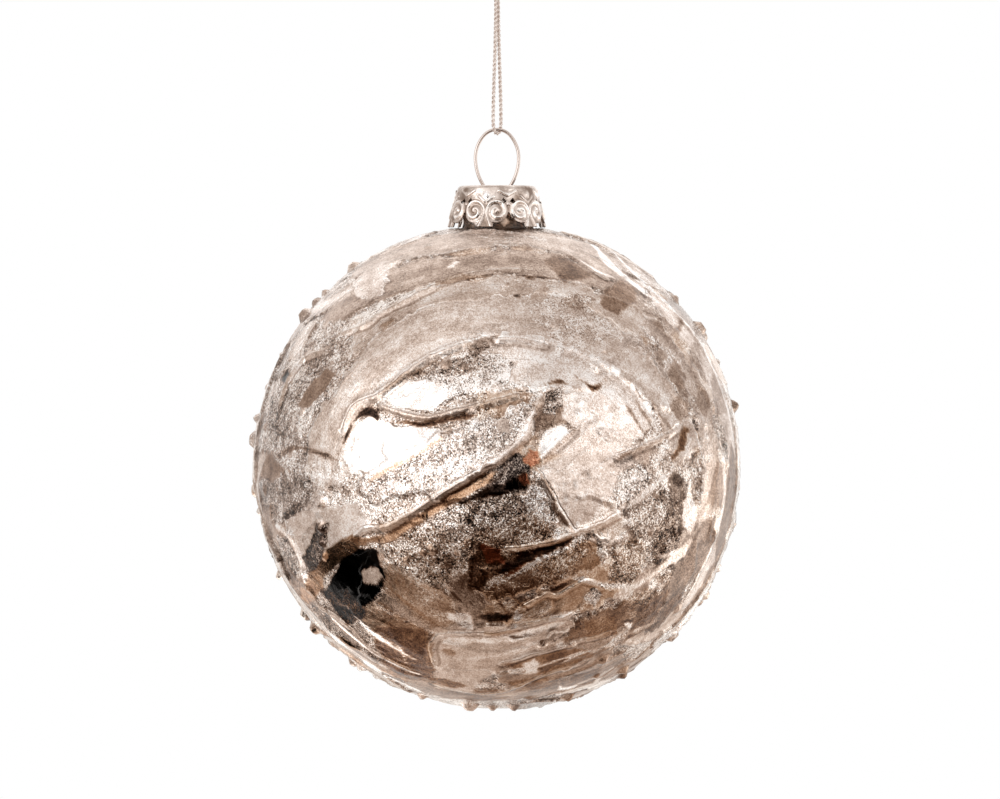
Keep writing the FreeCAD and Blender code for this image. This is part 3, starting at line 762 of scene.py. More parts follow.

# Painted lines, many of them painted highlights along the limb and the ridges and painted shade under the
# beads: points, half width in mm, tone, warmth, grain.
FRONT_LINES = [
    # painted shade: the brown lower face of the main ridge, and the shadows under the other beads
    ([(-72, -33), (-64, -31.5), (-55, -27), (-48, -22.5), (-42, -20), (-36, -17.5)], 1.5, 0.50, 1.1, 0.0),
    ([(-38, -19.4), (-33, -17.9), (-28, -17.5), (-20, -13.2), (-10, -7.6), (-4, -4.2), (0, -1.5)],
     0.9, 0.50, 1.0, 0.0),
    ([(-25, 10.2), (-17, 9.8), (-11, 11.3), (-5, 11.6)], 0.35, 0.30, 0.9, 0.2),
    ([(-33, -4.5), (-27, -1), (-19, 2.5), (-12, 7.5)], 0.30, 0.72, 0.9, 0.1),
    ([(-30, 16.5), (-27, 19.5), (-22, 22.5), (-17, 24.8)], 0.35, 0.55, 0.6, 0.5),
    ([(-23.5, 21.4), (-20, 22.6), (-18, 22.4)], 0.3, 0.25, 0.5, 0.4),
    ([(10, -2), (13, -7), (14.5, -11), (18, -15)], 0.25, 0.30, 0.5, 0.3),
    ([(9.8, 0.2), (13, 3), (18, 7.4)], 0.25, 0.45, 0.5, 0.2),
    ([(-4, -30.4), (0, -28), (6, -25.3), (11, -22.7), (18, -19.6)], 0.50, 0.95, 0.2, 0.9),
    # a painted orange reflection
    ([(1, -27.6), (5, -25.4), (8, -23.4)], 0.2, 0.42, 2.4, 0.1),
    ([(24, -14), (34, -9), (42, -4), (48, 0)], 0.5, 0.86, 0.1, 0.30),
    ([(3, -37), (8, -33.8), (14, -31.6), (20, -28)], 0.25, 0.12, 0.7, 0.2),
    ([(20, -27.4), (24, -28), (30, -29.5), (40, -30)], 0.35, 0.92, 0.2, 0.8),
    ([(-40, 4.5), (-38.5, 7.5), (-36.8, 10.5)], 0.3, 0.25, 0.6, 0.4),
    ([(-66, 1.5), (-58, 4), (-50, 3.5), (-42, 1.5)], 0.45, 0.38, 0.5, 0.5),
    ([(-70, -14), (-63, -17), (-61, -23), (-64, -29)], 0.9, 0.95, 0.1, 0.1),
    ([(-66, -13), (-60, -11), (-54, -9)], 0.6, 0.30, 0.3, 0.8),
    ([(22.8, 19.8), (25, 18.4), (27.6, 19.8)], 0.42, 0.22, 0.9, 0.2),
    ([(13, 19.6), (16, 20.3), (18, 19.5)], 0.35, 0.25, 0.9, 0.1),
    ([(29, 0.5), (32, 2.5), (34.5, 3.5)], 0.3, 0.25, 0.5, 0.4),
    ([(33, 15), (36, 10), (38.5, 6)], 0.25, 0.50, 0.4, 0.3),
    ([(36, 16), (39, 11), (41, 8)], 0.25, 0.55, 0.4, 0.3),
    ([(40, 17), (43, 12), (47, 8)], 0.3, 0.58, 0.4, 0.3),
    ([(8, 50.8), (14, 50.6), (20, 49.8)], 0.4, 0.34, 0.6, 0.3),
    ([(76, 68), (62, 62), (55, 54), (57, 48), (62, 43)], 0.9, 1.0, 0.0, 0.15),
    ([(78, 62), (68, 55), (66, 47), (70, 38)], 0.5, 0.96, 0.0, 0.1),
    ([(60, 33), (66, 34.6), (72, 37)], 0.5, 0.46, 0.6, 0.1),
    ([(38, 59), (43, 53), (50, 50)], 0.35, 0.94, 0.0, 0.2),
    ([(62, 50), (71, 38), (76, 20), (77, 4)], 0.5, 0.98, 0.0, 0.1),
    ([(66, 8), (70, -10), (68, -28)], 0.5, 0.84, 0.1, 0.2),
    ([(44, -22), (54, -20), (60, -12)], 0.4, 0.66, 0.1, 0.3),
    ([(33, -34), (46, -26.5), (57, -18)], 0.9, 0.82, 0.2, 0.2),
    ([(-48, -38), (-42, -46), (-32, -54)], 0.5, 0.94, 0.0, 0.3),
    ([(-62, -36), (-52, -50), (-36, -60)], 0.4, 0.96, 0.0, 0.1),
    ([(41, -71), (58, -62), (69, -50)], 0.5, 0.62, 0.5, 0.3),
    ([(-22, -45), (-6, -46.5), (10, -43.5), (22, -38.5)], 1.0, 0.94, 0.2, 0.2),
    ([(-12, -53), (4, -51), (15, -46)], 0.5, 0.86, 0.2, 0.1),
    ([(2, -58), (20, -55.5), (34, -49.5)], 0.5, 0.92, 0.2, 0.4),
    ([(28, -47), (44, -45.5), (60, -40)], 0.6, 0.66, 0.4, 0.3),
    ([(-70, -42), (-64, -56), (-58, -70)], 0.8, 1.0, 0.0, 0.1),
    ([(-64, -44), (-56, -56), (-48, -66)], 1.0, 0.46, 0.9, 0.1),
    ([(-40, -38), (-34, -42), (-28, -47)], 0.3, 0.36, 1.1, 0.2),
    ([(-36, -34), (-30, -39), (-22, -44)], 0.3, 0.40, 1.1, 0.2),
    ([(-31, -30), (-25, -36), (-18, -42)], 0.3, 0.44, 1.0, 0.2),
    ([(-39, -47), (-37, -48.5), (-39, -54)], 0.35, 0.95, 0.1, 0.1),
    ([(2, -30), (6, -34), (10, -37)], 0.3, 0.34, 1.0, 0.2),
    ([(-1, -31), (2, -36), (5, -39)], 0.25, 0.36, 1.0, 0.2),
    ([(26, -56), (32, -51.5), (40, -49)], 0.5, 0.90, 0.2, 0.7),
    ([(40, -66), (46, -68), (56, -66)], 0.8, 0.98, 0.0, 0.1),
    ([(-14, -63), (-10, -65), (-6, -66)], 0.5, 0.94, 0.1, 0.2),
]

# Squeezed-up beads of paste: points, height and half width in mm, height of the step on the left and right.
FRONT_RIDGES = [
    ([(-40, 8), (-37, 14), (-30, 17), (-20, 25), (-8, 30), (4, 31), (13, 30)], 0.36, 0.55, 0.10, -0.26),
    ([(-30, 17), (-29, 14), (-24, 12.5), (-17, 11.5), (-8, 13.5), (1, 15.5), (8, 17)],
     0.46, 0.50, 0.0, -0.30),
    ([(-38, -17), (-34, -15.5), (-28, -15), (-20, -11), (-10, -5), (0, 1), (6, 6), (9, 12), (12, 18)],
     0.60, 0.55, 0.24, -0.42),
    ([(9, -1), (12, -6), (15, -11), (19, -16)], 0.20, 0.36, 0.12, -0.12),
    ([(9.5, 1), (14, 4), (18.5, 8)], 0.34, 0.35, 0.0, -0.24),
    ([(1, -20), (10, -19), (18, -16.6), (26, -14.2), (31, -11.5)], 0.40, 0.50, 0.16, -0.36),
    ([(30, 2), (36, 4), (43, 6.5), (49, 9)], 0.26, 0.38, 0.06, -0.18),
    ([(7, -36), (13, -32), (17, -32), (24, -28), (30, -30)], 0.42, 0.45, 0.14, -0.24),
    ([(-52, 32), (-41, 35), (-38, 38), (-30, 42.5), (-20, 48.5), (-8, 52), (8, 53.5)],
     0.26, 0.50, 0.10, -0.20),
    ([(-68, 12), (-66, 20), (-60, 26), (-52, 28)], 0.34, 0.60, 0.10, -0.20),
    ([(-66, -34), (-56, -40), (-50, -50), (-38, -58)], 0.40, 0.60, 0.20, -0.20),
    ([(-26, -54), (-23, -47), (-16, -43.5), (0, -43.5), (12, -40), (24, -37)], 0.30, 0.60, 0.14, -0.20),
    ([(2, -55), (14, -51), (27, -47.5), (40, -44)], 0.34, 0.60, 0.16, -0.20),
    ([(-36, -64), (-18, -70), (4, -68), (22, -60), (38, -55)], 0.30, 0.60, 0.16, -0.20),
]

# Blobs and bubbles: longitude, latitude, radius in mm, and the depth of the centre in radii.
FRONT_BLOBS = [
    (-8.5, 24, 0.9, 0.4), (26.5, 24, 1.0, 0.5), (20, 12.5, 0.6, 0.4), (-40, 32, 0.8, 0.4),
    (41, -16, 0.9, 0.4), (15.5, -56.6, 1.3, 0.75), (32, -57, 1.3, 0.75), (-24, -23, 0.8, 0.3),
    (-19, -21, 0.7, 0.3), (-10, -21, 0.7, 0.3), (-18.5, -12, 0.8, 0.3), (4, 13, 0.7, 0.4),
    (17, 35, 0.7, 0.5), (-1, 52, 0.6, 0.3), (2.5, 47, 0.6, 0.3), (-88, 54, 1.8, 0.0), (-88, 45, 1.2, 0.1),
    (-88, 38, 1.9, -0.1), (-88, 11, 1.3, 0.0), (-88, 6, 2.0, 0.0), (-87, -27, 1.4, 0.1),
    (-88, -42, 1.7, -0.1), (-70, -71, 1.3, 0.1), (86, 43, 1.3, 0.1), (88, 34, 1.9, -0.1),
    (88, 14, 1.7, 0.0), (88, -25, 1.4, 0.1), (88, -32, 1.8, 0.0), (84, -44, 2.0, 0.0),
    (86, -59, 1.4, 0.1), (-86, -56, 1.3, 0.1), (56, 31, 1.6, 0.7), (62, 22, 1.8, 0.7), (54, 20, 1.5, 0.7),
    (60, 10, 1.7, 0.7), (66, 14, 1.6, 0.65), (50, 27, 1.3, 0.7), (-40, -80, 2.0, 0.1),
    (30, -82, 1.4, 0.1), (-10, -84, 1.2, 0.1), (70, -72, 1.4, 0.1),
]
FRONT = np.array([1, 1, 1])
BACK = np.array([1, -1, -1])   # the back wears the front's pattern turned upside down


# ---------------------------------------------------------------- the relief: laying the coat
COAT_SEED = 11
RANDOM_STROKES = 150
RANDOM_BLOBS = 240
FLOW_AXIS = unit(np.array([-0.52, -0.06, 0.85]))
# Noises of the coat: steps per ball radius, seed.
BROAD = (2.2, 1)
MIDDLING = (7.0, 2)
RAGGED = (30.0, 4)
RAGGED_FINE = (75.0, 5)
WANDER = (12.0, 6)
GRAINS = (62.0, 8)
GRAINS_FINE = (110.0, 9)
CRUMBS_SEED = 40               # of the first stroke's crumbs
# Strokes: how the width breathes, how ragged the edge and the ends are, how soft the edge is, how hollow
# and how ribbed the band is, and its beads, which are tallest on every third stroke.
BREATH_SHARE = 0.16
BREATH_PER_MM = 0.23
EDGE_RAGGED_MM = 1.3
EDGE_WANDER_MM = 2.2
END_RAGGED_MM = 2.0
EDGE_SOFT_MM = 0.25
TILT_SHARE = 0.55              # of the tilt in the table that the band takes
HOLLOW_SHARE = 0.35            # of the lift by which a band's edges stand over its middle
RIPPLE_MM = 0.007
RIPPLES_PER_MM = 5.2           # in radians
BEAD_LEAST_MM = 0.05
BEAD_STEP_MM = 0.11
BEAD_HALF_MM = 0.45
AREA_DEPTH_MM = 0.10           # how far a painted area is pressed in, and how nearly flat
AREA_FLATNESS = 0.6
PAINT_SOFT_MM = 0.2            # softness of a painted line's edge, and of an area's
AREA_SOFT_MM = 0.22
RIDGE_SHAPE = 2.4              # power of the ridge's bell, so that it is a little square
STEP_FADE_LEFT_MM = 2.6        # how far the step beside a ridge runs out, left and right
STEP_FADE_RIGHT_MM = 2.2
BLOB_SHAPE = 1.6               # power of a blob's dome
CRUMB_MM = 0.22
TINY = 1e-6
EDGE_REACH_MM = 3.0            # how far from a stroke's edge the distance to it is kept
CREST_REACH_MM = 4.0           # the same for the beads
BRUSH_SCALE = 50               # of the brush marks where no stroke lies, per ball radius
LEAST_OVER_MM = -0.75          # lowest and highest places of the relief over the coat's smooth level
MOST_OVER_MM = 1.5
UNDER_CAP_MM = 0.15            # how far the plain ring under the cap lies below the smooth level
LIP_MM = 0.03                  # of the coat's last ring over the glass
RING_START = 1.12              # where the plain ring ends and the relief is full, in mouth radii
RING_END = 1.45


def random_strokes(rng):
    """Strokes all round the ball that follow circles about the flow's axis, each a little off it."""
    strokes = []
    for _ in range(RANDOM_STROKES):
        start = unit(rng.normal(size=3))
        way = np.cross(FLOW_AXIS, start)
        way /= max(np.linalg.norm(way), 0.2)
        way = way + 0.5 * rng.normal(size=3)
        way -= start * (way @ start)
        way = unit(way)
        bend = 0.35 * rng.normal() * np.cross(start, way)
        reach = math.radians(rng.uniform(12, 34))
        line = []
        for t in np.linspace(0, 1, 7) - 0.5:
            line.append(unit(start + way * math.tan(reach / 2) * 2 * t + bend * reach * t**2 * 4))
        width = rng.uniform(5, 11)
        lift = rng.uniform(0.02, 0.26)
        tilt = rng.normal() * 3.0
        rough = rng.uniform(0.1, 0.3)
        tone = rng.uniform(0.45, 0.95)
        warm = rng.uniform(0.0, 0.9)
        grain = rng.uniform(0.0, 0.6) ** 2 * 2
        strokes.append((np.array(line), width, lift, tilt, rough, tone, warm, grain))
    return strokes


def around(points, line, margin):
    """Which points lie within so many degrees of the line's reach."""
    middle = line[len(line) // 2]
    reach = np.arccos(np.clip(line @ middle, -1, 1)).max() + math.radians(margin)
    return np.flatnonzero(points @ middle > math.cos(min(reach, 3.0)))


def inside_outline(points, corners):
    """Millimetres inside an outline, seen flat from over its middle; negative outside it."""
    middle = unit(corners.mean(axis=0))
    east = unit(np.cross((0, 0, 1), middle))
    axes = np.stack([east, np.cross(middle, east)], axis=1)
    flat = (points @ axes) / (points @ middle)[:, None] * BALL_RADIUS_MM
    ring = (corners @ axes) / (corners @ middle)[:, None] * BALL_RADIUS_MM
    nearest = np.full(len(points), FAR)
    within = np.zeros(len(points), bool)
    for start, end in zip(ring, np.roll(ring, -1, axis=0)):
        span = end - start
        offset = flat - start
        t = np.clip(offset @ span / (span @ span), 0, 1)
        nearest = np.minimum(nearest, np.linalg.norm(offset - t[:, None] * span, axis=1))
        crosses = (start[1] > flat[:, 1]) != (end[1] > flat[:, 1])
        rise = span[1] if span[1] else 1 / FAR
        within ^= crosses & (offset[:, 0] < span[0] * offset[:, 1] / rise)
    return np.where(within, nearest, -nearest)


class Coat:
    """The relief at the grid's points: its height in mm over the smooth level, and what is painted on it."""

    def __init__(self, points):
        broad = wave(points, *BROAD)
        middling = wave(points, *MIDDLING)
        self.points = points
        self.ragged = 1.1 * wave(points, *RAGGED) + 0.7 * wave(points, *RAGGED_FINE)
        self.wander = wave(points, *WANDER)
        self.base = 0.8 * broad + 0.16 * middling
        self.height = 0.8 * broad + 0.4 * middling
        self.brush = points[:, [0, 2, 1]] * BRUSH_SCALE
        self.fields = {"tone": 0.7 + 0.4 * middling}
        plain = {"warm": 0.3, "grain": 0.6, "rough": 0.22, "edge": EDGE_REACH_MM, "crest": CREST_REACH_MM}
        for name, value in plain.items():
            self.fields[name] = np.full(len(points), value)

    def paint(self, near, cover, **values):
        for name, value in values.items():
            field = self.fields[name]
            field[near] += (value - field[near]) * cover

    def beside(self, line, margin):
        """The points near a line, the mm across it, along it and to its nearer end, and two noises there."""
        near = around(self.points, line, margin)
        across, along, length = along_line(self.points[near], line)
        return near, across, along, np.minimum(along, length - along), self.ragged[near], self.wander[near]

    def lay_stroke(self, number, line, width, lift, tilt, rough, tone, warm, grain):
        near, across, along, end, ragged, wander = self.beside(line, width)
        half = width * DEGREE_MM / 2
        # the width breathes along the stroke, and its ends are rounded
        breath = 1 + BREATH_SHARE * np.sin(along * BREATH_PER_MM + number)
        side = half * breath + ragged * EDGE_RAGGED_MM + wander * EDGE_WANDER_MM
        end = end + END_RAGGED_MM * ragged
        round_end = 1 - np.clip(end / half, 0, 1)
        inside = side * np.sqrt(1 - round_end**2) - np.abs(across)
        inside = np.where(end < 0, end - np.maximum(np.abs(across) - side, 0), inside)
        cover = smoothstep(-EDGE_SOFT_MM, EDGE_SOFT_MM, inside)
        # a tilted band with ripples along it and a bead on its edge
        ripple = RIPPLE_MM * np.sin(across * RIPPLES_PER_MM + 2.5 * wander + number)
        ripple = ripple * smoothstep(0.0, 1.5, inside)
        slope = math.tan(math.radians(tilt)) * TILT_SHARE
        hollow = HOLLOW_SHARE * lift * (across / half) ** 2
        band = self.base[near] + lift + across * slope + hollow + ripple
        bead = (BEAD_LEAST_MM + BEAD_STEP_MM * (number % 3)) * smoothstep(-1.0, 4.0, end)
        bead = bead * np.clip(1 + 2.4 * wander, 0, 2) * bump_over(inside - 0.5, BEAD_HALF_MM)
        self.height[near] += (band - self.height[near]) * cover + bead * (inside > -1.2)
        drift = 0.10 * wander + 0.05 * np.sin(across * 1.1 + 3 * wander + number)
        clumps = value_noise(self.points[near], 3.0, CRUMBS_SEED + number)
        crumbs = grain + 0.4 * smoothstep(0.6, 0.8, clumps)
        self.paint(near, cover, rough=rough, tone=tone + drift, warm=warm, grain=crumbs)
        # the distance to the edge, positive inside; outside, only where no other edge is nearer
        edge = self.fields["edge"]
        clear = np.minimum(np.abs(edge[near]), EDGE_REACH_MM)
        outside = np.where(inside > -clear, inside, edge[near])
        edge[near] = np.where(inside > 0, np.minimum(inside, EDGE_REACH_MM), outside)
        inner = inside > 0
        shift = np.full(len(near), 7.3 * number)
        self.brush[near[inner]] = np.stack([across, along * 0.06, shift], axis=1)[inner]

    def paint_area(self, corners, tone, warm, grain, rough):
        near = around(self.points, corners, 8)
        inside = inside_outline(self.points[near], corners)
        inside = inside + 0.7 * self.ragged[near] + 0.5 * self.wander[near]
        cover = smoothstep(-AREA_SOFT_MM, AREA_SOFT_MM, inside)
        self.paint(near, cover, tone=tone, warm=warm, grain=grain, rough=rough, edge=EDGE_REACH_MM)
        # a smooth area is pressed flat, so the strokes under it hardly show
        over = self.height[near] - self.base[near]
        level = self.base[near] + np.average(over, weights=cover + 1 / FAR) - AREA_DEPTH_MM
        self.height[near] += AREA_FLATNESS * max(1 - 2 * grain, 0) * cover * (level - self.height[near])

    def paint_line(self, line, half, tone, warm, grain):
        near, across, _, end, ragged, wander = self.beside(line, 4)
        width = half * (1.1 + 1.6 * wander) * smoothstep(-0.5, 2.5, end)
        cover = smoothstep(-PAINT_SOFT_MM, PAINT_SOFT_MM, width - np.abs(across + 0.3 * ragged))
        self.paint(near, cover, tone=tone, warm=warm, grain=grain, rough=0.12)

    def raise_ridge(self, line, tall, half, step_left, step_right):
        near, across, _, end, ragged, wander = self.beside(line, 9)
        across = across + 0.60 * wander + 0.34 * ragged
        fade = smoothstep(-0.4, 3.5, end)
        uneven = np.clip(0.95 + 1.1 * wander + 0.5 * ragged, 0.3, 1.3)
        crest = tall * np.exp(-(np.abs(across / (1.35 * half)) ** RIDGE_SHAPE)) * fade * uneven
        left_fade = np.exp(-np.clip(across, 0, None) / STEP_FADE_LEFT_MM)
        right_fade = np.exp(-np.clip(-across, 0, None) / STEP_FADE_RIGHT_MM)
        left = step_left * smoothstep(0.0, 0.5, across) * left_fade
        right = step_right * smoothstep(0.0, 0.5, -across) * right_fade
        self.height[near] += crest + (left + right) * fade
        cover = np.exp(-((across / (1.6 * half)) ** 4)) * fade
        self.paint(near, 0.65 * cover, grain=0.0, tone=0.74, rough=0.36)
        distance = np.where(end > 0, across, np.sign(across) * np.hypot(across, end))
        field = self.fields["crest"]
        field[near] = np.where(np.abs(distance) < np.abs(field[near]), distance, field[near])

    def add_blob(self, place, radius, depth):
        apart = np.linalg.norm(self.points - place, axis=1) * BALL_RADIUS_MM
        near = np.flatnonzero(apart < radius)
        if not len(near):
            return
        top = radius * (1 - depth) * (1 - (apart[near] / radius) ** BLOB_SHAPE)
        self.height[near] = np.maximum(self.height[near], self.height[near].mean() * 0.5 + top)
        self.paint(near, 0.6, grain=0.0, rough=0.12)

    def add_crumbs(self):
        granular = value_noise(self.points, *GRAINS) + 0.6 * value_noise(self.points, *GRAINS_FINE) - 0.8
        self.height += CRUMB_MM * granular * self.fields["grain"]


def laid_coat(points):
    """The whole coat in the order of the work: strokes, areas, lines and ridges, then crumbs and blobs."""
    rng = np.random.default_rng(COAT_SEED)
    coat = Coat(points)
    layers = random_strokes(rng)
    for side in (BACK, FRONT):
        for way, *rest in FRONT_STROKES:
            layers.append((seen_from_camera(smooth_line(way)) * side, *rest))
    for number, layer in enumerate(layers):
        coat.lay_stroke(number, *layer)
    for side in (BACK, FRONT):
        for outline, *rest in FRONT_AREAS:
            coat.paint_area(seen_from_camera(direction(*np.array(outline, float).T)) * side, *rest)
        for table, lay in ((FRONT_LINES, coat.paint_line), (FRONT_RIDGES, coat.raise_ridge)):
            for way, *rest in table:
                lay(seen_from_camera(smooth_line(way)) * side, *rest)
    coat.add_crumbs()
    for side in (BACK, FRONT):
        for longitude, latitude, radius, depth in FRONT_BLOBS:
            coat.add_blob(seen_from_camera(direction(longitude, latitude)) * side, radius, depth)
    for _ in range(RANDOM_BLOBS):
        place = unit(rng.normal(size=3))
        coat.add_blob(place, 0.45 + 1.25 * rng.random() ** 4, rng.uniform(0.2, 0.8))
    return coat


LIT_FROM = (0.0004, 0, -0.0006)      # metres across a lump, away from the light
GREYS = [(0.0, (14, 13, 12)), (0.25, (72, 62, 56)), (0.5, (142, 126, 116)), (0.75, (208, 191, 180)),
         (0.9, (240, 231, 225)), (1.0, (255, 254, 253))]
BROWNS = [(0.0, (16, 12, 10)), (0.25, (80, 52, 37)), (0.5, (152, 117, 90)), (0.75, (206, 180, 158)),
          (1.0, (250, 241, 232))]
# the orange end of the warmth: painted reflection of a warm lamp
ORANGE_REFLECTIONS = [(0.0, (40, 16, 10)), (0.4, (156, 88, 60)), (0.7, (216, 160, 128)), (1.0, (250, 236, 226))]


def relief_material():
    s = Shader(bpy.data.materials.new("champagne_mirror_relief"))
    place = s.coordinates()
    grain, tone, warm, rough, edge, crest = [
        s.attribute(name) for name in ("grain", "tone", "warm", "rough", "edge", "crest")]
    streak = s.minus(s.noise(s.attribute("brush", "Vector"), 1.5, 4, 0.62), 0.5)
    # flakes: each cell of a warped pattern leans its own way and has its own shade
    flakes = s.cells(s.shift(place, s.noise_colour(place, 1500), 0.0003), 4200)
    clumps = s.noise(place, 330, 5, 0.7)
    patchy = s.minus(clumps, 0.5)
    mask = s.ramp(s.total(grain, s.times(patchy, 1.1)), 0.25, 0.75)
    calm = s.minus(1.0, mask)
    crumbs = s.noise(place, 4200, 3, 0.75)
    # painted shade in dark pits and painted glints as bright sparks, crowded in clumps
    speck = s.total(s.times(s.channel(flakes, 2), 0.35), s.times(crumbs, 0.9), s.times(patchy, 0.9))
    pits = s.ramp(speck, 0.46, 0.58, 1.0, 0.0)
    sparks = s.ramp(speck, 0.68, 0.80)
    dots = s.minus(s.times(sparks, 0.34), s.times(pits, 0.46))
    cloud = s.minus(s.noise(place, 120, 6, 0.62), 0.5)
    # lumps lit from above: each is paler on its upper left and darker on its lower right
    lumps = s.noise(place, 300, 3, 0.6, 0.4)
    beside = s.noise(s.shift(place, LIT_FROM, 1.0), 300, 3, 0.6, 0.4)
    emboss = s.minus(lumps, beside)
    # the bead along a stroke's edge with a painted highlight on it, and the painted shadow beside it,
    # sharper than the mesh's cells
    gaps = s.ramp(s.noise(place, 110, 2, 0.5), 0.42, 0.58)
    lip = s.times(s.minus(s.ramp(edge, -0.1, 0.2), s.ramp(edge, 0.3, 1.1)), gaps)
    shadow = s.times(s.minus(s.ramp(edge, -0.9, -0.05), s.ramp(edge, -0.05, 0.12)), gaps)
    # the same for a ridge: a painted highlight along its upper side and a painted shadow below it
    top = s.minus(s.ramp(crest, 0.2, 0.5), s.ramp(crest, 0.6, 0.95))
    under = s.minus(s.ramp(crest, -1.7, -1.2), s.ramp(crest, -1.0, -0.65))
    # the colour's value: the tone, with painted glints and pit shade, painted lighting of the lumps,
    # mottling, brush marks and crumbs, and painted highlights and shadows at edges and ridges
    value = s.total(
        tone,
        s.times(dots, s.total(mask, 0.28)),
        s.times(emboss, s.ramp(mask, 0.0, 1.0, 0.35, 0.9)),
        s.times(cloud, s.ramp(mask, 0.0, 1.0, 0.17, 0.52)),
        s.times(streak, calm, 0.08),
        s.times(s.minus(crumbs, 0.5), calm, 0.35),
        s.times(shadow, -0.16),
        s.times(top, 0.12),
        s.times(under, -0.18),
        s.times(lip, 0.10))
    colour = s.mix(s.ramp(warm, 0.0, 1.0, smooth=False), s.palette(value, GREYS), s.palette(value, BROWNS))
    # orange where the warmth passes 1.2: painted reflection of a warm lamp
    colour = s.mix(s.ramp(warm, 1.2, 2.0, smooth=False), colour, s.palette(value, ORANGE_REFLECTIONS))
    relief = s.total(s.times(streak, 0.08), s.times(lip, 0.25), s.times(top, 0.3), s.times(clumps, 0.3),
                     s.times(crumbs, mask, 0.22))
    lean = s.scaled(s.shift(flakes, (-0.5, -0.5, -0.5), 1.0), s.times(mask, 0.22))
    normal = s.vector("NORMALIZE", s.shift(s.bump(relief, 0.0004, 0.9), lean, 1.0))
    s.set(Base_Color=colour, Metallic=1.0, Normal=normal)
    s.set(Roughness=s.math("ADD", rough, s.times(s.math("ABSOLUTE", streak), 0.25), clamp=True))
    return s.owner


def relief_ball():
    points, quads = ball_grid(CELLS, FRONT_DENSITY)
    coat = laid_coat(points)
    radius = BALL_RADIUS_MM + np.clip(coat.height, LEAST_OVER_MM, MOST_OVER_MM)
    # the coat is plain under the cap's rim, and ends at its mouth
    from_axis = np.hypot(points[:, 0], points[:, 1])
    mouth = COAT_MOUTH_RADIUS_MM / BALL_RADIUS_MM
    on_top = points[:, 2] > 0
    full = np.where(on_top, smoothstep(mouth * RING_START, mouth * RING_END, from_axis), 1)
    radius = (BALL_RADIUS_MM - UNDER_CAP_MM) * (1 - full) + radius * full
    inside = on_top & (from_axis < mouth)
    quads = quads[~inside[quads].all(axis=1)]
    # the last ring inside the mouth is drawn out to the mouth's circle and down to the glass
    used = np.unique(quads)
    lip = inside & np.isin(np.arange(len(points)), used)
    radius[lip] = GLASS_RADIUS_MM + LIP_MM
    points[lip, :2] *= (mouth / np.maximum(from_axis[lip], TINY))[:, None]
    points[lip, 2] = np.sqrt(1 - mouth**2)
    renumber = np.full(len(points), -1)
    renumber[used] = np.arange(len(used))
    verts = points[used] * radius[used][:, None] * MM + np.array(BALL_CENTRE)
    obj = add_mesh("mirror_relief", verts, renumber[quads][:, ::-1], relief_material())
    add_attribute(obj, "brush", coat.brush[used])
    for name, values in coat.fields.items():
        add_attribute(obj, name, values[used])
    return obj


relief = relief_ball()
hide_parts("relief_coat")
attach(relief, "ball")


# ---------------------------------------------------------------- the cap
CAP_MOTIFS = 6
MOTIF_TURN = math.radians(-15.0)        # of the first motif from the front, towards +X
CAP_SHOULDER_MM = 1.1
CAP_SHEET_MM = 0.35
CAP_COLUMNS = 504
CAP_ROW_MM = 0.12
SHOULDER_ROWS = 9
TOP_ROWS = 24
TOP_HOLE_MM = 0.3                       # radius at which the rows of the flat top stop
CLIP_HOLE_MM = 0.75
SCROLL_CENTRE_MM = (2.36, 3.15)         # across from the motif's middle, above the rim
SCROLL_RADIUS_MM = 2.36
SCROLL_PITCH_MM = 1.50                  # between the turns of a scroll
FOOT_HALF_MM = 1.75                     # half the width of the motif's foot
WINDOW_TOP_MM = 1.70
PEAK_MM = ((1.75, 7.35), (0.0, 6.30))   # the hanging V between two motifs: its ends and its point


def to_segment(x, z, start, end):
    """The distance from points to a straight piece between two places."""
    span = np.subtract(end, start)
    t = np.clip(((x - start[0]) * span[0] + (z - start[1]) * span[1]) / (span @ span), 0, 1)
    return np.hypot(x - start[0] - t * span[0], z - start[1] - t * span[1])


def cap_relief(across, rise, pitch):
    """The cap's chased pattern: how far it stands out in mm, and where the sheet is pierced."""
    x = np.abs(across)
    gap = pitch / 2 - x
    dx = x - SCROLL_CENTRE_MM[0]
    dz = rise - SCROLL_CENTRE_MM[1]
    from_scroll = np.hypot(dx, dz)
    turn = (np.arctan2(dz, -dx) / TAU + 0.75) % 1.0
    coil = (from_scroll - (SCROLL_RADIUS_MM - 0.35) + SCROLL_PITCH_MM * turn) / SCROLL_PITCH_MM
    to_coil = np.abs(coil - np.round(coil)) * SCROLL_PITCH_MM
    in_scroll = smoothstep(SCROLL_RADIUS_MM + 0.15, SCROLL_RADIUS_MM - 0.25, from_scroll)
    flare = 0.45 + 0.85 * np.clip(1 - rise / 2.0, 0, 1)
    out = 0.36 * bump_over(to_coil, 0.42) * in_scroll + 0.06 * in_scroll
    for part in (
            # the scroll's eye, and the foot's two fluted sides, flaring into the scrolls
            0.36 * bump_over(from_scroll, 0.45),
            0.30 * bump_over(x - flare, 0.32) * smoothstep(2.4, 1.4, rise),
            # the bud over the motif with a leaf on each side
            0.36 * bump_over(np.hypot(x / 0.75, (rise - 6.55) / 0.80), 0.85),
            0.26 * bump_over(to_segment(x, rise, (0.3, 5.2), (1.5, 6.2)), 0.26),
            # the hanging V with its flower
            0.30 * bump_over(to_segment(gap, rise, *PEAK_MM), 0.22),
            0.28 * bump_over(np.hypot(gap, rise - 4.65), 0.34),
            0.22 * bump_over(to_segment(gap, rise, (0.5, 6.9), (0.0, 6.7)), 0.2)):
        out = np.maximum(out, part)
    between = (from_scroll > SCROLL_RADIUS_MM + 0.05) & (gap < 1.3) & (rise < 2.9)
    window = (rise < WINDOW_TOP_MM) & (x > FOOT_HALF_MM) & (from_scroll > SCROLL_RADIUS_MM)
    eye = (np.abs(gap - 0.95) / 0.62 + np.abs(rise - 5.25) / 0.62) < 1
    notch = (from_scroll > SCROLL_RADIUS_MM) & (np.abs(gap - 0.45) < 0.3) & (np.abs(rise - 4.15) < 0.28)
    return out, between | window | eye | notch


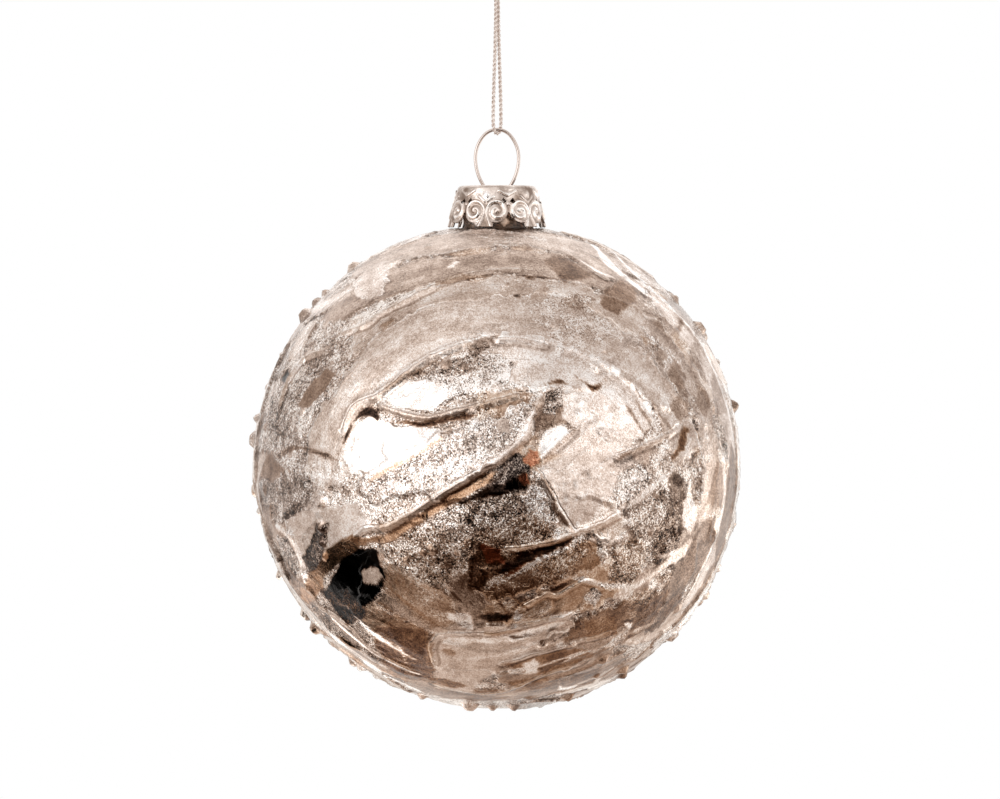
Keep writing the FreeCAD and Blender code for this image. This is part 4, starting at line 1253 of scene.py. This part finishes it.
def cap_material():
    s = Shader(bpy.data.materials.new("cap_metal"))
    place = s.coordinates()
    cloud = s.noise(place, 500, 4, 0.6)
    pits = s.noise(place, 1600, 3, 0.6)
    large_patches = s.noise(place, 170, 2, 0.5)
    # painted shade and highlight: the chased pattern is paler where it stands out and darker where it sinks,
    # and large patches vary it at random
    value = s.total(s.times(s.attribute("raised"), 1.1), s.times(cloud, 0.5), s.times(large_patches, 1.3), -0.42)
    metal = [(0.0, (70, 58, 50)), (0.45, (150, 132, 120)), (0.75, (224, 212, 204)), (1.0, (255, 252, 249))]
    s.set(Base_Color=s.palette(value, metal), Metallic=1.0)
    s.set(Roughness=s.ramp(pits, 0.3, 0.7, 0.05, 0.16), Normal=s.bump(s.total(cloud, pits), 0.00022, 0.5))
    return s.owner


def cap_outline(tall):
    """The outline from the rim up the skirt, over the shoulder and across the top; and the top's radius."""
    lean = math.atan2(CAP_RIM_RADIUS_MM - CAP_TOP_RADIUS_MM, tall)
    cut_back = CAP_SHOULDER_MM * math.tan((math.pi / 2 - lean) / 2)
    skirt_end = math.hypot(tall, CAP_RIM_RADIUS_MM - CAP_TOP_RADIUS_MM) - cut_back
    run = np.arange(0, skirt_end, CAP_ROW_MM)
    flat = CAP_TOP_RADIUS_MM - cut_back
    turns = np.linspace(lean, math.pi / 2, SHOULDER_ROWS)
    top = np.linspace(flat, TOP_HOLE_MM, TOP_ROWS)[1:]
    skirt = (CAP_RIM_RADIUS_MM - run * math.sin(lean), run * math.cos(lean))
    shoulder = (flat + CAP_SHOULDER_MM * np.cos(turns), tall - CAP_SHOULDER_MM * (1 - np.sin(turns)))
    radii, rises = np.hstack([skirt, shoulder, (top, np.full(len(top), tall))])
    return radii, rises, flat


def scroll_cap():
    tall = CAP_TOP_MM - CAP_RIM_MM
    radii, rises, flat = cap_outline(tall)
    tangents = unit(np.stack([np.gradient(radii), np.gradient(rises)], axis=1))
    turns = np.arange(CAP_COLUMNS) * TAU / CAP_COLUMNS
    pitch_turn = TAU / CAP_MOTIFS
    local = (turns - MOTIF_TURN + pitch_turn / 2) % pitch_turn - pitch_turn / 2
    skirt = np.maximum(radii, flat)[:, None]
    out, pierced = cap_relief(local[None, :] * skirt, rises[:, None] + 0 * local[None, :], pitch_turn * skirt)
    # no part of the pattern stands out over the CAD's flat top
    on_skirt = smoothstep(tall - 0.02, tall - 0.5, rises)[:, None]
    out = out * on_skirt
    pierced &= on_skirt > 0.5
    around_axis = radii[:, None] + out * tangents[:, 1:]
    height = rises[:, None] - out * tangents[:, :1]
    x = around_axis * np.sin(turns)
    y = -around_axis * np.cos(turns)
    # the clip's two holes in the top
    to_hole = np.hypot(np.abs(x) - CLIP_FOOT_MM, y)
    pierced |= (rises[:, None] > tall - TINY) & (to_hole < CLIP_HOLE_MM)
    verts = np.stack([x, y, height + CAP_RIM_MM], axis=-1).reshape(-1, 3) * MM + np.array(BALL_CENTRE)
    index = np.arange(x.size).reshape(x.shape)
    after = np.roll(index, -1, axis=1)
    quads = np.stack([index[:-1], after[:-1], after[1:], index[1:]], axis=-1).reshape(-1, 4)
    open_quads = pierced.ravel()[quads].sum(axis=1) >= 2
    obj = add_mesh("scroll_cap", verts, quads[~open_quads], cap_material())
    add_attribute(obj, "raised", out.ravel())
    sheet = obj.modifiers.new("sheet", "SOLIDIFY")
    sheet.thickness = CAP_SHEET_MM * MM
    sheet.offset = -1
    return obj


scrolls = scroll_cap()
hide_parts("cap")
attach(scrolls, "hanger")


# ---------------------------------------------------------------- studio
WHITE = (1, 1, 1, 1)
FLOOR_REACH = 6.0
FLOOR_DROP = 0.22              # below the ball's centre
# What the mirror sees: azimuth from the camera's side towards +X, elevation, radius and softness in degrees,
# colour, strength.
ROOM = [
    # the dark room behind the camera
    (0, -8, 13, 10, (30, 26, 24), 1.0),
    (4, -44, 20, 16, (90, 66, 50), 1.0),
    # dark thing low on the left
    (-97, -38, 12, 9, (16, 15, 12), 1.0),
    # soft white lights, left and right
    (-42, 14, 24, 14, (255, 255, 255), 2.2),
    (50, 8, 18, 14, (255, 252, 250), 1.5),
    (-24, 44, 18, 20, (255, 252, 250), 1.2),
    (120, -18, 14, 16, (255, 252, 248), 1.8),
    (-140, -40, 12, 14, (255, 250, 246), 1.8),
    (180, 30, 30, 20, (255, 252, 250), 1.3),
    (180, -22, 18, 14, (255, 252, 248), 1.1),
]


def add_stage():
    """A plain white floor far below the hanging ball. It takes no part in the reflections."""
    s = Shader(bpy.data.materials.new("white_floor"))
    emission = s.add("Emission", {"Color": WHITE, "Strength": 1.0})
    s.link(emission.outputs[0], s.nodes["Material Output"].inputs["Surface"])
    level = BALL_CENTRE_Z - FLOOR_DROP
    corners = [(x * FLOOR_REACH, y * FLOOR_REACH, level) for x, y in ((-1, -1), (1, -1), (1, 1), (-1, 1))]
    floor = add_mesh("studio_floor", corners, [(0, 1, 2, 3)], s.owner)
    for flag in ("visible_glossy", "visible_diffuse", "visible_transmission", "visible_shadow"):
        setattr(floor, flag, False)


def add_world():
    """Plain white to the camera, and to the mirror a pale room with its lights and dark places."""
    world = bpy.data.worlds.new("studio")
    bpy.context.scene.world = world
    s = Shader(world)
    s.nodes.clear()
    way = s.coordinates("Generated")
    rise = s.channel(way, "Z")
    patchy = s.noise(way, 2.6, 3, 0.6)
    upper = s.mix(s.ramp(rise, 0.0, 1.0), linear(236, 230, 226), linear(224, 216, 211))
    lower = s.mix(s.ramp(rise, -1.0, -0.55), linear(232, 218, 208), linear(224, 208, 196))
    lower = s.mix(s.ramp(patchy, 0.4, 0.62, 0, 0.7), lower, linear(198, 176, 160))
    colour = s.mix(s.ramp(rise, -0.42, -0.12), lower, upper)
    for azimuth, elevation, radius, soft, shade, power in ROOM:
        facing = s.vector("DOT_PRODUCT", way, direction(azimuth, elevation)).node.outputs["Value"]
        outer = math.cos(math.radians(radius + soft))
        inner = math.cos(math.radians(radius))
        red, green, blue, _ = linear(*shade)
        colour = s.mix(s.ramp(facing, outer, inner), colour, (red * power, green * power, blue * power, 1.0))
    room = s.add("Background", {"Color": colour})
    white = s.add("Background", {"Color": WHITE})
    to_camera = s.add("LightPath", {}).outputs["Is Camera Ray"]
    choose = s.add("MixShader", {"Fac": to_camera, 1: room.outputs[0], 2: white.outputs[0]})
    s.add("OutputWorld", {"Surface": choose.outputs[0]})


add_stage()
add_world()
